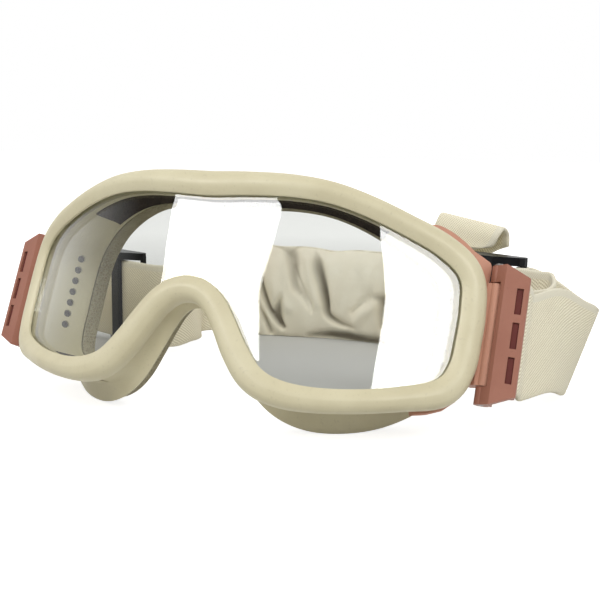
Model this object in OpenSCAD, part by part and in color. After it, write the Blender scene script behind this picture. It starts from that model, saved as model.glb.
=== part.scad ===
// Goggles with a moulded frame, one wrap-round lens, hinged strap brackets and an elastic strap.
// They stand on the two lower lobes of the face flange and on the strap behind, leaning back.
// The front is modelled upright round the lens, with the lens's middle at the origin, and then leant.

/* [Lens] */
// Radius of the cylinder that the lens is cut from
lens_r = 140; // [130:1:150]
// Thickness of the lens
lens_t = 2.4; // [2:0.1:2.8]
// How far the lens reaches into the frame past the opening
lens_bite = 2.4; // [1.6:0.1:2.8]
// Half width of the lens opening, measured round the lens
opening_half = 93; // [90:0.5:96]
// Height of the opening above its middle
opening_top = 31; // [28:0.5:33]
// Depth of the opening below its middle
opening_drop = 31.2; // [28:0.5:33]

/* [Frame] */
// Width of the rim round the opening
rim_w = 10.1; // [9.4:0.1:11]
// How far the rim's crown stands in front of the lens
rim_proud = 3.4; // [2.4:0.1:4.4]
// Width of the bevel from the opening up to the crown
bevel_w = 3.2; // [2.4:0.1:4]
// Depth of the rim behind the lens's front
rim_back = 5.6; // [5:0.1:6.4]
// Thickness of the walls
wall_t = 2.2; // [1.6:0.1:2.6]
// Depth of the face flange at the temples
temple_depth = 22; // [20:0.5:24]
// Depth of the face flange at the nose
nose_depth = 12; // [11:0.5:14]
// Reach of the face flange past the opening, at the top and sides
flange_reach = 8.6; // [7.6:0.2:9.4]
// Reach of the two lower lobes past the opening
lobe_reach = 12.8; // [11:0.2:14.5]
// Thickness of the face flange
flange_t = 2; // [1.4:0.1:2.6]
// Angle that the goggles lean back as they stand
lean = 24; // [18:1:28]

/* [Vents] */
// Diameter of the round vents in the side walls
hole_d = 3; // [2:0.1:3.6]
// Spacing of the round vents
hole_pitch = 4.7; // [4.2:0.1:5.2]
// Number of round vents on each side
hole_count = 7; // [3:1:7]
// Length of the slots in the top wall
slot_len = 9; // [6:0.5:11]
// Spacing of the slots in the top wall
slot_pitch = 13; // [12:0.5:14]
// Width of the slots in the top and bottom walls
slot_w = 5; // [3:0.5:6]

/* [Foam] */
// Thickness of the face foam
foam_t = 6; // [4:0.5:8]
// Thickness of the dark vent foam
vent_foam_t = 1.4; // [1:0.1:1.8]

/* [Outriggers] */
// How far the hinge axis lies outside the rim, measured round the lens
hinge_out = 4; // [3.8:0.1:4.6]
// How far the hinge axis lies behind the lens's curve
hinge_back = 2.1; // [1.6:0.1:2.6]
// Radius of the hinge knuckles
knuckle_r = 2.6; // [2.3:0.1:2.7]
// Diameter of the hinge pin
pin_d = 2.2; // [1.6:0.1:2.6]
// Width of the outrigger plate past the hinge
plate_w = 11.3; // [10.8:0.1:12]
// Thickness of the outrigger plate
plate_t = 1.8; // [1.4:0.1:2.2]
// Radius of the bar that the strap goes round
bar_r = 1.6; // [1.3:0.1:1.8]
// Thickness of the ears that hold the bar
ear_t = 1.2; // [1:0.1:1.8]
// Height of the clip's middle knuckle
knuckle_h = 35.6; // [32:0.2:37]
// Height of the outrigger's two end knuckles
end_knuckle_h = 6; // [4.4:0.2:6.4]
// Length of the three slots in the plate
plate_slot_len = 9; // [7:0.5:10]
// Width of the three slots in the plate
plate_slot_w = 2.2; // [1.4:0.1:2.6]
// Depth of the three slots in the plate
plate_slot_t = 1.2; // [0.6:0.1:1.3]

/* [Strap] */
// Width of the strap
strap_w = 38; // [36:0.5:40]
// Thickness of the strap
strap_t = 1.6; // [1.2:0.1:1.8]
// Width of the sliders along the strap
slider_w = 28; // [26:0.5:30]
// Width of a slider's middle bar
slider_bar_w = 5.5; // [4:0.5:7]
// Thickness of a slider's top and bottom rails
slider_rail = 3.4; // [2.6:0.1:4]
// Length of the fabric lens cover along the strap
cover_len = 90; // [70:1:100]
// Thickness of the bunched cover at its middle
cover_t = 17; // [12:0.5:20]

/* [Hidden] */
$fn = 48;

// Clearances
lens_gap = 0.2;
seat_gap = 0.1;
skin_gap = 0.3;
pin_gap = 0.05;
fit_gap = 0.3;

// Half of the lens opening, from the top middle round to the nose: along and up as shares of the
// opening, then how deep the face flange lies (0 at the nose, 1 at the temples), how far it reaches
// (0 at the sides, 1 at the lobes) and the rim's share of its full width
half_outline = [
  [0.000, 0.940, 0.46, 0, 0.97], [0.152, 0.968, 0.51, 0, 0.93], [0.323, 1.000, 0.59, 0, 0.87],
  [0.465, 0.987, 0.68, 0, 0.83], [0.606, 0.908, 0.74, 0, 0.81], [0.753, 0.780, 0.82, 0, 0.83],
  [0.890, 0.640, 0.95, 0, 0.90], [0.981, 0.450, 1.00, 0, 0.97], [1.000, 0.130, 1.00, 0, 1.00],
  [0.999, -0.190, 1.00, 0, 1.00], [0.990, -0.470, 0.98, 0.05, 1.00],
  [0.950, -0.670, 1.02, 0.30, 0.97], [0.829, -0.820, 1.14, 0.80, 0.82],
  [0.687, -0.935, 1.06, 1.00, 0.78], [0.541, -1.000, 1.00, 0.95, 0.80],
  [0.425, -0.992, 0.84, 0.60, 0.87], [0.339, -0.900, 0.64, 0.15, 0.93],
  [0.269, -0.675, 0.44, 0, 0.93], [0.209, -0.417, 0.26, 0, 0.89], [0.152, -0.202, 0.12, 0, 0.87],
  [0.081, -0.050, 0.02, 0, 0.86], [0, 0, 0, 0, 0.86]
];
half_n = len(half_outline);
full_outline = concat(half_outline,
  [for (i = [half_n - 2:-1:1]) let (p = half_outline[i]) [-p[0], p[1], p[2], p[3], p[4]]]);
steps = 3;

// Smooth closed curve through a list of points
function curve_at(a, b, c, d, t) =
  0.5 * (2 * b + (c - a) * t + (2 * a - 5 * b + 4 * c - d) * t * t
         + (3 * b - a - 3 * c + d) * t * t * t);
function closed_curve(pts, steps) = let (n = len(pts)) [
  for (i = [0:n - 1], k = [0:steps - 1])
    curve_at(pts[(i + n - 1) % n], pts[i], pts[(i + 1) % n], pts[(i + 2) % n], k / steps)];
function open_curve(pts, steps) = let (n = len(pts)) [
  for (i = [0:n - 2], k = [0:(i == n - 2 ? steps : steps - 1)])
    curve_at(pts[max(i - 1, 0)], pts[i], pts[i + 1], pts[min(i + 2, n - 1)], k / steps)];

// Stations round the opening: along, up, flange depth, flange reach, rim width
stations = [for (p = closed_curve(full_outline, steps)) [
  p[0] * opening_half,
  p[1] * (p[1] > 0 ? opening_top : opening_drop),
  nose_depth + p[2] * (temple_depth - nose_depth),
  flange_reach + p[3] * (lobe_reach - flange_reach),
  rim_w * p[4]]];
n_st = len(stations);
// Unit vector away from the opening at each station
outward = [for (i = [0:n_st - 1])
  let (a = stations[(i + n_st - 1) % n_st], b = stations[(i + 1) % n_st],
       t = [b[0] - a[0], b[1] - a[1]])
  [-t[1], t[0]] / norm(t)];

// Point at a length s round the lens, a height z and a depth d behind the lens's front
function on_lens(s, z, d) =
  let (phi = s / lens_r * 180 / PI)
  [(lens_r - d) * sin(phi), lens_r - (lens_r - d) * cos(phi), z];
// Point at station i, u away from the opening and d behind the lens's front
function at_station(i, u, d) =
  let (k = (i + n_st) % n_st)
  on_lens(stations[k][0] + u * outward[k][0], stations[k][1] + u * outward[k][1], d);
function section_at(i, uds) = [for (p = uds) at_station(i, p[0], p[1])];

// Skins: rings of points joined into a closed ring, or into a strip with flat ends
function ring_faces(n, m, closed) = [
  for (i = [0:(closed ? n - 1 : n - 2)], j = [0:m - 1])
    let (a = i * m + j, b = i * m + (j + 1) % m,
         c = ((i + 1) % n) * m + (j + 1) % m, d = ((i + 1) % n) * m + j)
    each [[a, b, c], [a, c, d]]];
module skin_ring(rings) {
  polyhedron([for (r = rings) each r], ring_faces(len(rings), len(rings[0]), true), 4);
}
module skin_strip(rings) {
  m = len(rings[0]);
  n = len(rings);
  polyhedron([for (r = rings) each r], concat(
    ring_faces(n, m, false),
    [for (j = [1:m - 2]) [0, j + 1, j]],
    [for (j = [1:m - 2]) [(n - 1) * m, (n - 1) * m + j, (n - 1) * m + j + 1]]), 4);
}

// Frame section, as [away from the opening, behind the lens's front]
inner_lip = 0.4;
groove_u = lens_bite + 2;
wall_out = groove_u + 1.2;
wall_in = wall_out - wall_t;
edge_in = 2.8;
function frame_section(depth, reach, rim) = [
  [0, -1.2], [bevel_w, -rim_proud], [rim * 0.64, -rim_proud * 0.94],
  [rim * 0.89, -rim_proud * 0.55], [rim, 0.6], [rim - 0.3, rim_back - 1.4],
  [rim - 1.6, rim_back], [wall_out + 0.2, rim_back + 0.8],
  [wall_out, depth - flange_t - 2.4], [reach - 1.2, depth - flange_t],
  [reach, depth - flange_t * 0.5], [reach - 0.6, depth],
  [edge_in, depth], [edge_in - 0.4, depth - flange_t * 0.6],
  [wall_in - 0.6, depth - flange_t], [wall_in, depth - flange_t - 2.4], [wall_in, rim_back - 0.2],
  [inner_lip, rim_back - 1], [inner_lip, lens_t + lens_gap], [groove_u, lens_t + lens_gap],
  [groove_u, -lens_gap], [0.2, -lens_gap]];

// Section of the face foam, which lies behind the flange
function foam_section(depth, reach) = [
  [edge_in, depth + skin_gap], [reach - 1.6, depth + skin_gap],
  [reach - 1.8, depth + foam_t * 0.3], [reach - 3.1, depth + foam_t * 0.8],
  [reach - 4.4, depth + foam_t], [edge_in + 0.8, depth + foam_t],
  [edge_in - 0.1, depth + foam_t * 0.8], [edge_in - 0.3, depth + foam_t * 0.3]];

// Height of the lens's middle when the lowest point of the flange and the foam is on the ground
function lean_point(p) = [p[0], p[1] * cos(lean) + p[2] * sin(lean),
                          p[2] * cos(lean) - p[1] * sin(lean)];
low_edges = [for (i = [0:n_st - 1],
                  q = concat([[stations[i][3], stations[i][2] - flange_t * 0.5]],
                             foam_section(stations[i][2], stations[i][3])))
               lean_point(at_station(i, q[0], q[1]))[2]];
rest_h = -min(low_edges);
module lean_back() {
  translate([0, 0, rest_h]) rotate([-lean, 0, 0]) children();
}
module on_side(side) {
  if (side > 0) children();
  else mirror([1, 0, 0]) children();
}

// Vents
hole_depth = 14;
hole_low = -13.6;
side_station_s = opening_half + wall_out - wall_t / 2;
top_slot_depth = 9.5;
bottom_slot_depth = 13;
module round_vents() {
  phi = side_station_s / lens_r * 180 / PI;
  for (k = [0:hole_count - 1])
    translate(on_lens(side_station_s, hole_low + k * hole_pitch, hole_depth))
      rotate([0, 0, phi]) rotate([0, 90, 0]) cylinder(h = 3 * wall_t, d = hole_d, center = true);
}
module wall_slot(s, z, depth) {
  phi = s / lens_r * 180 / PI;
  translate(on_lens(s, z, depth)) rotate([0, 0, phi])
    cube([slot_len, slot_w, slot_cut_h], center = true);
}
slot_cut_h = 14;
top_slots = 8;
bottom_slot_s = [48, 62, 76];
module frame() {
  color([0.82, 0.77, 0.62]) lean_back() difference() {
    skin_ring([for (i = [0:n_st - 1])
      section_at(i, frame_section(stations[i][2], stations[i][3], stations[i][4]))]);
    for (side = [-1, 1]) on_side(side) {
      round_vents();
      for (k = [0:top_slots / 2 - 1])
        wall_slot((k + 0.5) * slot_pitch, opening_top + 4, top_slot_depth);
      for (s = bottom_slot_s) wall_slot(s, -opening_drop - 2.5, bottom_slot_depth);
    }
  }
}

// Lens: a sheet of the cylinder, cut to the opening's outline plus the bite
module lens() {
  rim = [for (i = [0:n_st - 1]) let (p = at_station(i, lens_bite, 0)) [p[0], p[2]]];
  color([0.85, 0.88, 0.9, 0.4]) lean_back() intersection() {
    translate([0, lens_r, -lens_r]) difference() {
      cylinder(h = 2 * lens_r, r = lens_r, $fn = 180);
      translate([0, 0, -1]) cylinder(h = 2 * lens_r + 2, r = lens_r - lens_t, $fn = 180);
    }
    translate([0, lens_r / 2, 0]) rotate([90, 0, 0])
      linear_extrude(height = lens_r, center = true) polygon(rim);
  }
}

// Soft pad that follows the back of the flange
module face_foam() {
  color([0.35, 0.29, 0.24]) lean_back()
    skin_ring([for (i = [0:n_st - 1])
      section_at(i, foam_section(stations[i][2], stations[i][3]))]);
}

// Vent foam: strips that lie against the walls. The top one reaches back to the flange's inner bead.
strip_top = wall_in - skin_gap;
strip_low = strip_top - vent_foam_t;
strip_front = rim_back + 0.4;
top_last = round(4.5 * steps);
bottom_first = 12 * steps;
bottom_last = 16 * steps;
side_first = 7 * steps;
side_last = 10 * steps;
side_foam_w = 5.6;
module vent_foam_top() {
  color([0.2, 0.16, 0.14]) lean_back()
    skin_strip([for (i = [-top_last:top_last])
      let (lip = stations[(i + n_st) % n_st][2] - flange_t - skin_gap)
      section_at(i, [[strip_low, strip_front], [strip_top, strip_front], [strip_top, lip - 2.5],
                     [strip_top - 0.7, lip], [strip_low - 0.4, lip], [strip_low, lip - 2.5]])]);
}
module vent_foam_bottom(side) {
  color([0.2, 0.16, 0.14]) lean_back() on_side(side)
    skin_strip([for (i = [bottom_first:bottom_last])
      let (back = stations[i][2] - flange_t - 2.8)
      section_at(i, [[strip_low, strip_front], [strip_top, strip_front],
                     [strip_top, back], [strip_low, back]])]);
}
module vent_foam_side(side) {
  low = wall_out + skin_gap;
  high = low + vent_foam_t;
  front = hole_depth - side_foam_w / 2;
  back = hole_depth + side_foam_w / 2;
  color([0.2, 0.16, 0.14]) lean_back() on_side(side)
    skin_strip([for (i = [side_first:side_last])
      section_at(i, [[low, front], [high, front], [high, back], [low, back]])]);
}

// Outriggers. The plan of a bracket is drawn on the right-hand side: the clip's middle knuckle stands
// between the outrigger's two end knuckles.
hinge = on_lens(opening_half + rim_w + hinge_out, 0, hinge_back);
hinge_x = hinge[0];
hinge_y = hinge[1];
plate_h = strap_w + 2 * (ear_t + seat_gap);
plate_mid = -1.7;
knuckle_mid = plate_mid + 0.2;
hinge_h = knuckle_h + 2 * (fit_gap + end_knuckle_h);
ridge = [hinge_x + 3.3, hinge_y - 5];
plate_edge = [hinge_x + plate_w, hinge_y - 3.3];
bar_inset = 3.4;
bar_slack = 0.2;
bar_centre = plate_edge + [-bar_inset, plate_t + strap_t + bar_r + bar_slack];
slot_x = hinge_x + 8.6;
slot_wall = 2.8;
clip_rise_top = 3.4;
clip_rise_bottom = 2.4;
clip_tip = 0.9;
clip_t = 4;
clip_first = round(5.4 * steps);
clip_last = round(11.6 * steps);
clip_taper = 3 * steps;
// A clip's wing grows from its tips to its full rise over the taper
function clip_top(i) =
  let (rim = stations[i][4],
       rise = clip_rise_bottom + (clip_rise_top - clip_rise_bottom)
                * min(1, max(0, 0.5 + stations[i][1] / opening_top)),
       grown = min(1, (i - clip_first) / clip_taper, (clip_last - i) / clip_taper))
  rim + clip_tip + (rise - clip_tip) * grown;
function clip_section(i) =
  let (rim = stations[i][4], top = clip_top(i))
  [[wall_out + fit_gap, rim_back + 1.5], [rim - 0.9, rim_back + fit_gap],
   [top - 0.5, rim_back - 0.2], [top, rim_back + 0.6],
   [top, rim_back + fit_gap + clip_t], [wall_out + fit_gap, rim_back + fit_gap + clip_t]];
module hinge_bore(d) {
  translate([hinge_x, hinge_y, plate_mid - plate_h])
    cylinder(h = 2 * plate_h, d = d);
}
// The web that joins the middle knuckle to the wing, outside the rim and behind it
module clip_web() {
  u = rim_w + hinge_out;
  plan = [for (p = [
      [u - knuckle_r, hinge_back - 0.4], [rim_w + fit_gap + 0.1, hinge_back + 0.6],
      [rim_w + fit_gap, rim_back - 1], [rim_w - 1.2, rim_back + fit_gap + 0.4],
      [wall_out + 2.2, rim_back + fit_gap + 0.9], [wall_out + 2.2, rim_back + clip_t],
      [u - 0.4, rim_back + clip_t], [u + knuckle_r * 0.7, hinge_back + knuckle_r * 0.7]])
    let (q = on_lens(opening_half + p[0], 0, p[1])) [q[0], q[1]]];
  translate([0, 0, knuckle_mid - knuckle_h / 2]) linear_extrude(height = knuckle_h) {
    polygon(plan);
    translate([hinge_x, hinge_y]) circle(r = knuckle_r);
  }
}
module outrigger_clip(side) {
  color([0.62, 0.38, 0.33]) lean_back() on_side(side) difference() {
    union() {
      skin_strip([for (i = [clip_first:clip_last]) section_at(i, clip_section(i))]);
      clip_web();
    }
    hinge_bore(pin_d + 2 * pin_gap);
  }
}
pin_head_t = 0.8;
module hinge_pin(side) {
  color([0.25, 0.25, 0.27]) lean_back() on_side(side)
    translate([hinge_x, hinge_y, knuckle_mid - hinge_h / 2]) {
      cylinder(h = hinge_h + seat_gap + pin_head_t, d = pin_d);
      translate([0, 0, hinge_h + seat_gap]) cylinder(h = pin_head_t, d = pin_d * 1.6);
    }
}
// The plate seen from the front: taller at the hinge than at its edge
module plate_taper() {
  translate([0, hinge_y, 0]) rotate([90, 0, 0]) linear_extrude(height = 4 * plate_w, center = true)
    polygon([[hinge_x - 2 * knuckle_r, knuckle_mid - hinge_h / 2], [ridge[0], knuckle_mid - hinge_h / 2],
             [plate_edge[0], plate_mid - plate_h / 2], [plate_edge[0] + plate_w, plate_mid - plate_h / 2],
             [plate_edge[0] + plate_w, plate_mid + plate_h / 2], [plate_edge[0], plate_mid + plate_h / 2],
             [ridge[0], knuckle_mid + hinge_h / 2], [hinge_x - 2 * knuckle_r, knuckle_mid + hinge_h / 2]]);
}
module outrigger(side) {
  color([0.62, 0.38, 0.33]) lean_back() on_side(side) difference() {
    union() {
      intersection() {
        translate([0, 0, knuckle_mid - hinge_h / 2]) linear_extrude(height = hinge_h) {
          translate([hinge_x, hinge_y]) circle(r = knuckle_r);
          polygon([[hinge_x - 0.3, hinge_y - 2.55], ridge, ridge + [0.6, 2.2],
                   [hinge_x + knuckle_r + 0.9, hinge_y + 0.6], [hinge_x + 1, hinge_y + 1]]);
          polygon([ridge, plate_edge - [0.4, 0], plate_edge + [0, 0.4],
                   plate_edge + [0, plate_t], [ridge[0] + 0.5, ridge[1] + plate_t + 0.7]]);
        }
        plate_taper();
      }
      translate([bar_centre[0], bar_centre[1], plate_mid - plate_h / 2])
        cylinder(h = plate_h, r = bar_r);
      for (low = [plate_mid - plate_h / 2, plate_mid + plate_h / 2 - ear_t])
        translate([0, 0, low]) linear_extrude(height = ear_t) {
          translate(bar_centre) circle(r = bar_r + 0.8);
          polygon([bar_centre + [bar_r + 0.8, 0], bar_centre - [bar_r + 0.8, 0],
                   [bar_centre[0] - bar_r - 2, plate_edge[1] + 1],
                   [bar_centre[0] + bar_r + 0.8, plate_edge[1] + 1]]);
        }
    }
    hinge_bore(pin_d + 2 * pin_gap);
    // Room for the clip's middle knuckle, which the plate turns round
    translate([hinge_x, hinge_y, knuckle_mid - knuckle_h / 2 - fit_gap])
      cylinder(h = knuckle_h + 2 * fit_gap, r = knuckle_r + fit_gap);
    translate([hinge_x - knuckle_r * 2, hinge_y - knuckle_r - 1.5, knuckle_mid - knuckle_h / 2 - fit_gap])
      cube([knuckle_r * 2 + 1.7, knuckle_r + 1.5, knuckle_h + 2 * fit_gap]);
    for (k = [-1:1])
      plate_slot(plate_mid + k * (plate_slot_len + slot_wall));
  }
}
// A blind slot in the plate's front, square to its face
module plate_slot(z) {
  run = plate_edge - ridge;
  share = (slot_x - ridge[0]) / run[0];
  translate([slot_x, ridge[1] + share * run[1], z]) rotate([0, 0, atan2(run[1], run[0])])
    cube([plate_slot_w, 2 * plate_slot_t, plate_slot_len], center = true);
}

// Strap wrapped round the outrigger's bar, with both legs pointing back
wrap_in = bar_r + bar_slack;
wrap_out = wrap_in + strap_t;
wrap_leg = 4;
module strap_wrap(side) {
  color([0.84, 0.81, 0.69]) lean_back() on_side(side)
    translate([bar_centre[0], bar_centre[1], plate_mid - strap_w / 2])
      linear_extrude(height = strap_w) difference() {
        union() {
          circle(r = wrap_out);
          translate([-wrap_out, 0]) square([2 * wrap_out, wrap_leg]);
        }
        circle(r = wrap_in);
        translate([-wrap_in, 0]) square([2 * wrap_in, wrap_leg + 1]);
      }
}

// Strap runs. Each is a ribbon through points, each with a direction across the strap. The first
// and last two points set the way that the ends face.
upright = [0, 0, 1];
leant = [0, sin(lean), cos(lean)];
function unit(v) = v / norm(v);
module ribbon(route, steps) {
  pts = open_curve([for (r = route) r[0]], steps);
  ups = open_curve([for (r = route) r[1]], steps);
  n = len(pts);
  m = len(route);
  skin_strip([for (i = [0:n - 1])
    let (go = i == 0 ? route[1][0] - route[0][0]
              : i == n - 1 ? route[m - 1][0] - route[m - 2][0] : pts[i + 1] - pts[i - 1],
         up = unit(ups[i]) * strap_w / 2,
         face = unit(cross(go, up)) * strap_t / 2)
    [pts[i] - up - face, pts[i] + up - face, pts[i] + up + face, pts[i] - up + face]]);
}
function leg_end(side, offset, y) =
  lean_point([side * (bar_centre[0] + offset), bar_centre[1] + y, plate_mid]) + [0, 0, rest_h];
leg_mid = (wrap_in + wrap_out) / 2;

// Sliders: place of the middle, and the way that the strap runs through
slider_h = strap_w + 2 * (slider_rail + seat_gap + fit_gap);
side_bar_r = 1.4;
side_bar_back = strap_t / 2 + fit_gap + strap_t + side_bar_r + 0.2;
bar_front = strap_t / 2 + fit_gap;
// Points of the strap are set out from the brackets' hinges: outward, back, and up from the ground
hinge_row = lean_point([hinge_x, hinge_y, 0]);
function from_right(p) = [hinge_row[0] + p[0], hinge_row[1] + p[1], p[2]];
function from_left(p) = [-hinge_row[0] - p[0], hinge_row[1] + p[1], p[2]];
function from_middle(p) = [p[0], hinge_row[1] + p[1], p[2]];
right_slider = from_right([-14.5, 60, 32]);
right_way = 153;
left_slider = from_left([0.5, 59, 23]);
left_way = -21;
module slider_frame(place, way, flipped) {
  translate(place) rotate([0, 0, way]) mirror([0, flipped ? 1 : 0, 0]) children();
}
module slider_body() {
  half = slider_w / 2 - side_bar_r;
  for (x = [-half, half])
    translate([x, side_bar_back, -slider_h / 2 + side_bar_r])
      cylinder(h = slider_h - 2 * side_bar_r, r = side_bar_r);
  translate([-slider_bar_w / 2, -bar_front - 2.2, -slider_h / 2 + 0.5])
    cube([slider_bar_w, 2.2, slider_h - 1]);
  for (z = [-slider_h / 2, slider_h / 2 - slider_rail])
    translate([0, 0, z]) linear_extrude(height = slider_rail)
      polygon([[-half - side_bar_r, side_bar_back - 1], [-half, side_bar_back - 2.2],
               [-slider_bar_w / 2, -bar_front - 2.2], [slider_bar_w / 2, -bar_front - 2.2],
               [half, side_bar_back - 2.2], [half + side_bar_r, side_bar_back - 1],
               [half + side_bar_r, side_bar_back + 0.6], [half, side_bar_back + side_bar_r],
               [-half, side_bar_back + side_bar_r], [-half - side_bar_r, side_bar_back + 0.6]]);
}
module slider_left() {
  color([0.08, 0.1, 0.13]) slider_frame(left_slider, left_way, false) slider_body();
}
module slider_right() {
  color([0.08, 0.1, 0.13]) slider_frame(right_slider, right_way, true) slider_body();
}

// Strap end, sewn round a slider's side bar
module strap_loop_body(end_x) {
  translate([end_x, side_bar_back, -strap_w / 2]) linear_extrude(height = strap_w) difference() {
    circle(r = side_bar_r + 0.15 + strap_t);
    circle(r = side_bar_r + 0.15);
  }
}
module strap_loop_left() {
  color([0.84, 0.81, 0.69]) slider_frame(left_slider, left_way, false)
    strap_loop_body(-slider_w / 2 + side_bar_r);
}
module strap_loop_right() {
  color([0.84, 0.81, 0.69]) slider_frame(right_slider, right_way, true)
    strap_loop_body(-slider_w / 2 + side_bar_r);
}

// Strap side runs: the outer layer goes from the bar's outer leg to the fold, and the inner layer
// from the inner leg to the straight stretch that the slider rides on
slider_travel = 6;
straight = slider_w / 2 + slider_travel + 4;
butt_gap = 0.05;
function way_of(way) = [cos(way), sin(way), 0];
function along(place, way, x) = [place + x * way_of(way), upright];
right_fold = from_right([22, 60, 20]);
right_fold_up = [0.30, -0.22, 0.92];
right_fold_way = unit([0, 4, -0.9]);
left_fold = from_left([31.5, 70, 22]);
left_fold_way = unit([-0.2, 4, 0]);
fold_lead = 4;
function legs(side, offset) = [
  [leg_end(side, offset, wrap_leg + butt_gap), leant], [leg_end(side, offset, wrap_leg + 6), leant]];
right_outer = concat(legs(1, leg_mid), [
  [from_right([16.5, 29, 29]), [0, 0.25, 0.95]], [from_right([20.5, 47, 23]), [0.15, 0, 0.98]],
  [right_fold - fold_lead * right_fold_way, [0.27, -0.16, 0.94]], [right_fold, right_fold_up]]);
right_inner = concat(legs(1, -leg_mid), [
  [from_right([8.5, 23, 28.3]), [0, 0.25, 0.95]], [from_right([12.1, 34, 27.8]), [0, 0.1, 1]],
  [from_right([13.3, 41.8, 29.5]), upright],
  along(right_slider, right_way, -straight - 5), along(right_slider, right_way, -straight - butt_gap)]);
left_outer = concat(legs(-1, leg_mid), [
  [from_left([16.5, 27, 30]), [0, 0.2, 0.98]], [from_left([24.5, 47, 25]), upright],
  [from_left([30.5, 61, 22]), upright],
  [left_fold - fold_lead * left_fold_way, upright], [left_fold, upright]]);
left_inner = concat(legs(-1, -leg_mid), [
  [from_left([9.5, 25, 30]), [0, 0.2, 0.98]], [from_left([17.5, 43, 25]), upright],
  [from_left([23.9, 55, 23]), upright], [from_left([26.8, 62, 23]), upright],
  [from_left([27.3, 66.4, 23]), upright],
  along(left_slider, left_way, -straight - 3.4), along(left_slider, left_way, -straight - butt_gap)]);
module strap_side_left() {
  color([0.84, 0.81, 0.69]) {
    ribbon(left_outer, 4);
    ribbon(left_inner, 4);
  }
}
module strap_side_right() {
  color([0.84, 0.81, 0.69]) {
    ribbon(right_outer, 4);
    ribbon(right_inner, 4);
  }
}

// Strap ends: round the fold, then to the loop that is sewn round a slider's side bar
function sewn_at(place, way, flipped) =
  place + (side_bar_r - slider_w / 2) * way_of(way)
        + (flipped ? -1 : 1) * side_bar_back * way_of(way + 90);
loop_r = side_bar_r + 0.15 + strap_t;
right_sewn = sewn_at(right_slider, right_way, true);
left_sewn = sewn_at(left_slider, left_way, false);
module strap_end_right() {
  color([0.84, 0.81, 0.69]) ribbon([
    [right_fold + butt_gap * right_fold_way, right_fold_up],
    [right_fold + right_fold_way, right_fold_up], [right_fold + [-1.2, 2.8, 0], right_fold_up],
    [right_fold + [-3.4, 3.2, 1], right_fold_up], [right_fold + [-8, 2.4, 3.8], [0.24, -0.16, 0.94]],
    [right_sewn + (loop_r + 6) * [0.95, 0.31, 0] - [0, 0, 3.2], [0.1, 0, 1]],
    [right_sewn + (loop_r + 2.4) * [0.95, 0.31, 0] - [0, 0, 0.8], upright],
    [right_sewn + (loop_r + butt_gap) * [0.95, 0.31, 0], upright]], 3);
}
module strap_end_left() {
  color([0.84, 0.81, 0.69]) ribbon([
    [left_fold + butt_gap * left_fold_way, upright], [left_fold + left_fold_way, upright],
    [left_fold + [1.2, 2.8, 0], upright], [left_fold + [3.4, 3.2, 0], upright],
    [left_fold + [8, 2.8, 0], upright],
    [left_sewn + (loop_r + 4) * [-0.85, 0.53, 0], upright],
    [left_sewn + (loop_r + butt_gap) * [-0.85, 0.53, 0], upright]], 3);
}

// Back of the strap, from the right slider's straight stretch up over its raised loop, through the
// cover, round the left loop and through the left slider
straight_steps = 4;
function straight_run(place, way) =
  [for (k = [-straight_steps:straight_steps]) along(place, way, straight * k / straight_steps)];
right_run = straight_run(right_slider, right_way);
left_run = straight_run(left_slider, left_way);
back_route = concat(right_run, [
  [from_right([-43, 75, 33]), [0.2, 0, 0.98]], [from_right([-47, 78.5, 38.5]), [0.5, -0.12, 0.86]],
  [from_right([-41, 84, 48.5]), [0.8, -0.46, 0.38]], [from_right([-33.5, 81.5, 56]), [0.85, -0.52, 0.05]],
  [from_right([-30.5, 81.4, 62.8]), [0.85, -0.52, -0.06]], [from_right([-29, 84, 66]), [0.85, -0.52, -0.1]],
  [from_right([-27.9, 87.3, 63]), [0.85, -0.52, -0.06]], [from_right([-28.2, 88.7, 56]), [0.85, -0.5, 0.05]],
  [from_right([-30.5, 91, 47.5]), [0.8, -0.35, 0.42]], [from_right([-35.5, 96.5, 39]), [0.55, -0.05, 0.8]],
  [from_right([-41.5, 103.5, 31]), [0.25, 0.1, 0.96]], [from_right([-49.5, 111, 26]), [0.05, 0, 1]],
  [from_right([-59.5, 119, 23]), upright], [from_middle([15, 124, 22.5]), upright],
  [from_middle([-14, 123.5, 22.5]), upright], [from_left([-52.5, 117.5, 22.5]), upright],
  [from_left([-33.5, 110, 21.5]), upright], [from_left([-24.5, 97, 20.5]), [0.2, -0.1, 0.95]],
  [from_left([-27.5, 81, 21.5]), [-0.15, 0, 0.98]], [from_left([-33.5, 67, 23]), upright],
  [from_left([-33.5, 55, 23]), upright], [from_left([-28.5, 50, 23]), upright]],
  [for (k = [2 * straight_steps:-1:0]) left_run[k]]);
module strap_back() {
  color([0.84, 0.81, 0.69]) ribbon(back_route, 3);
}

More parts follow.
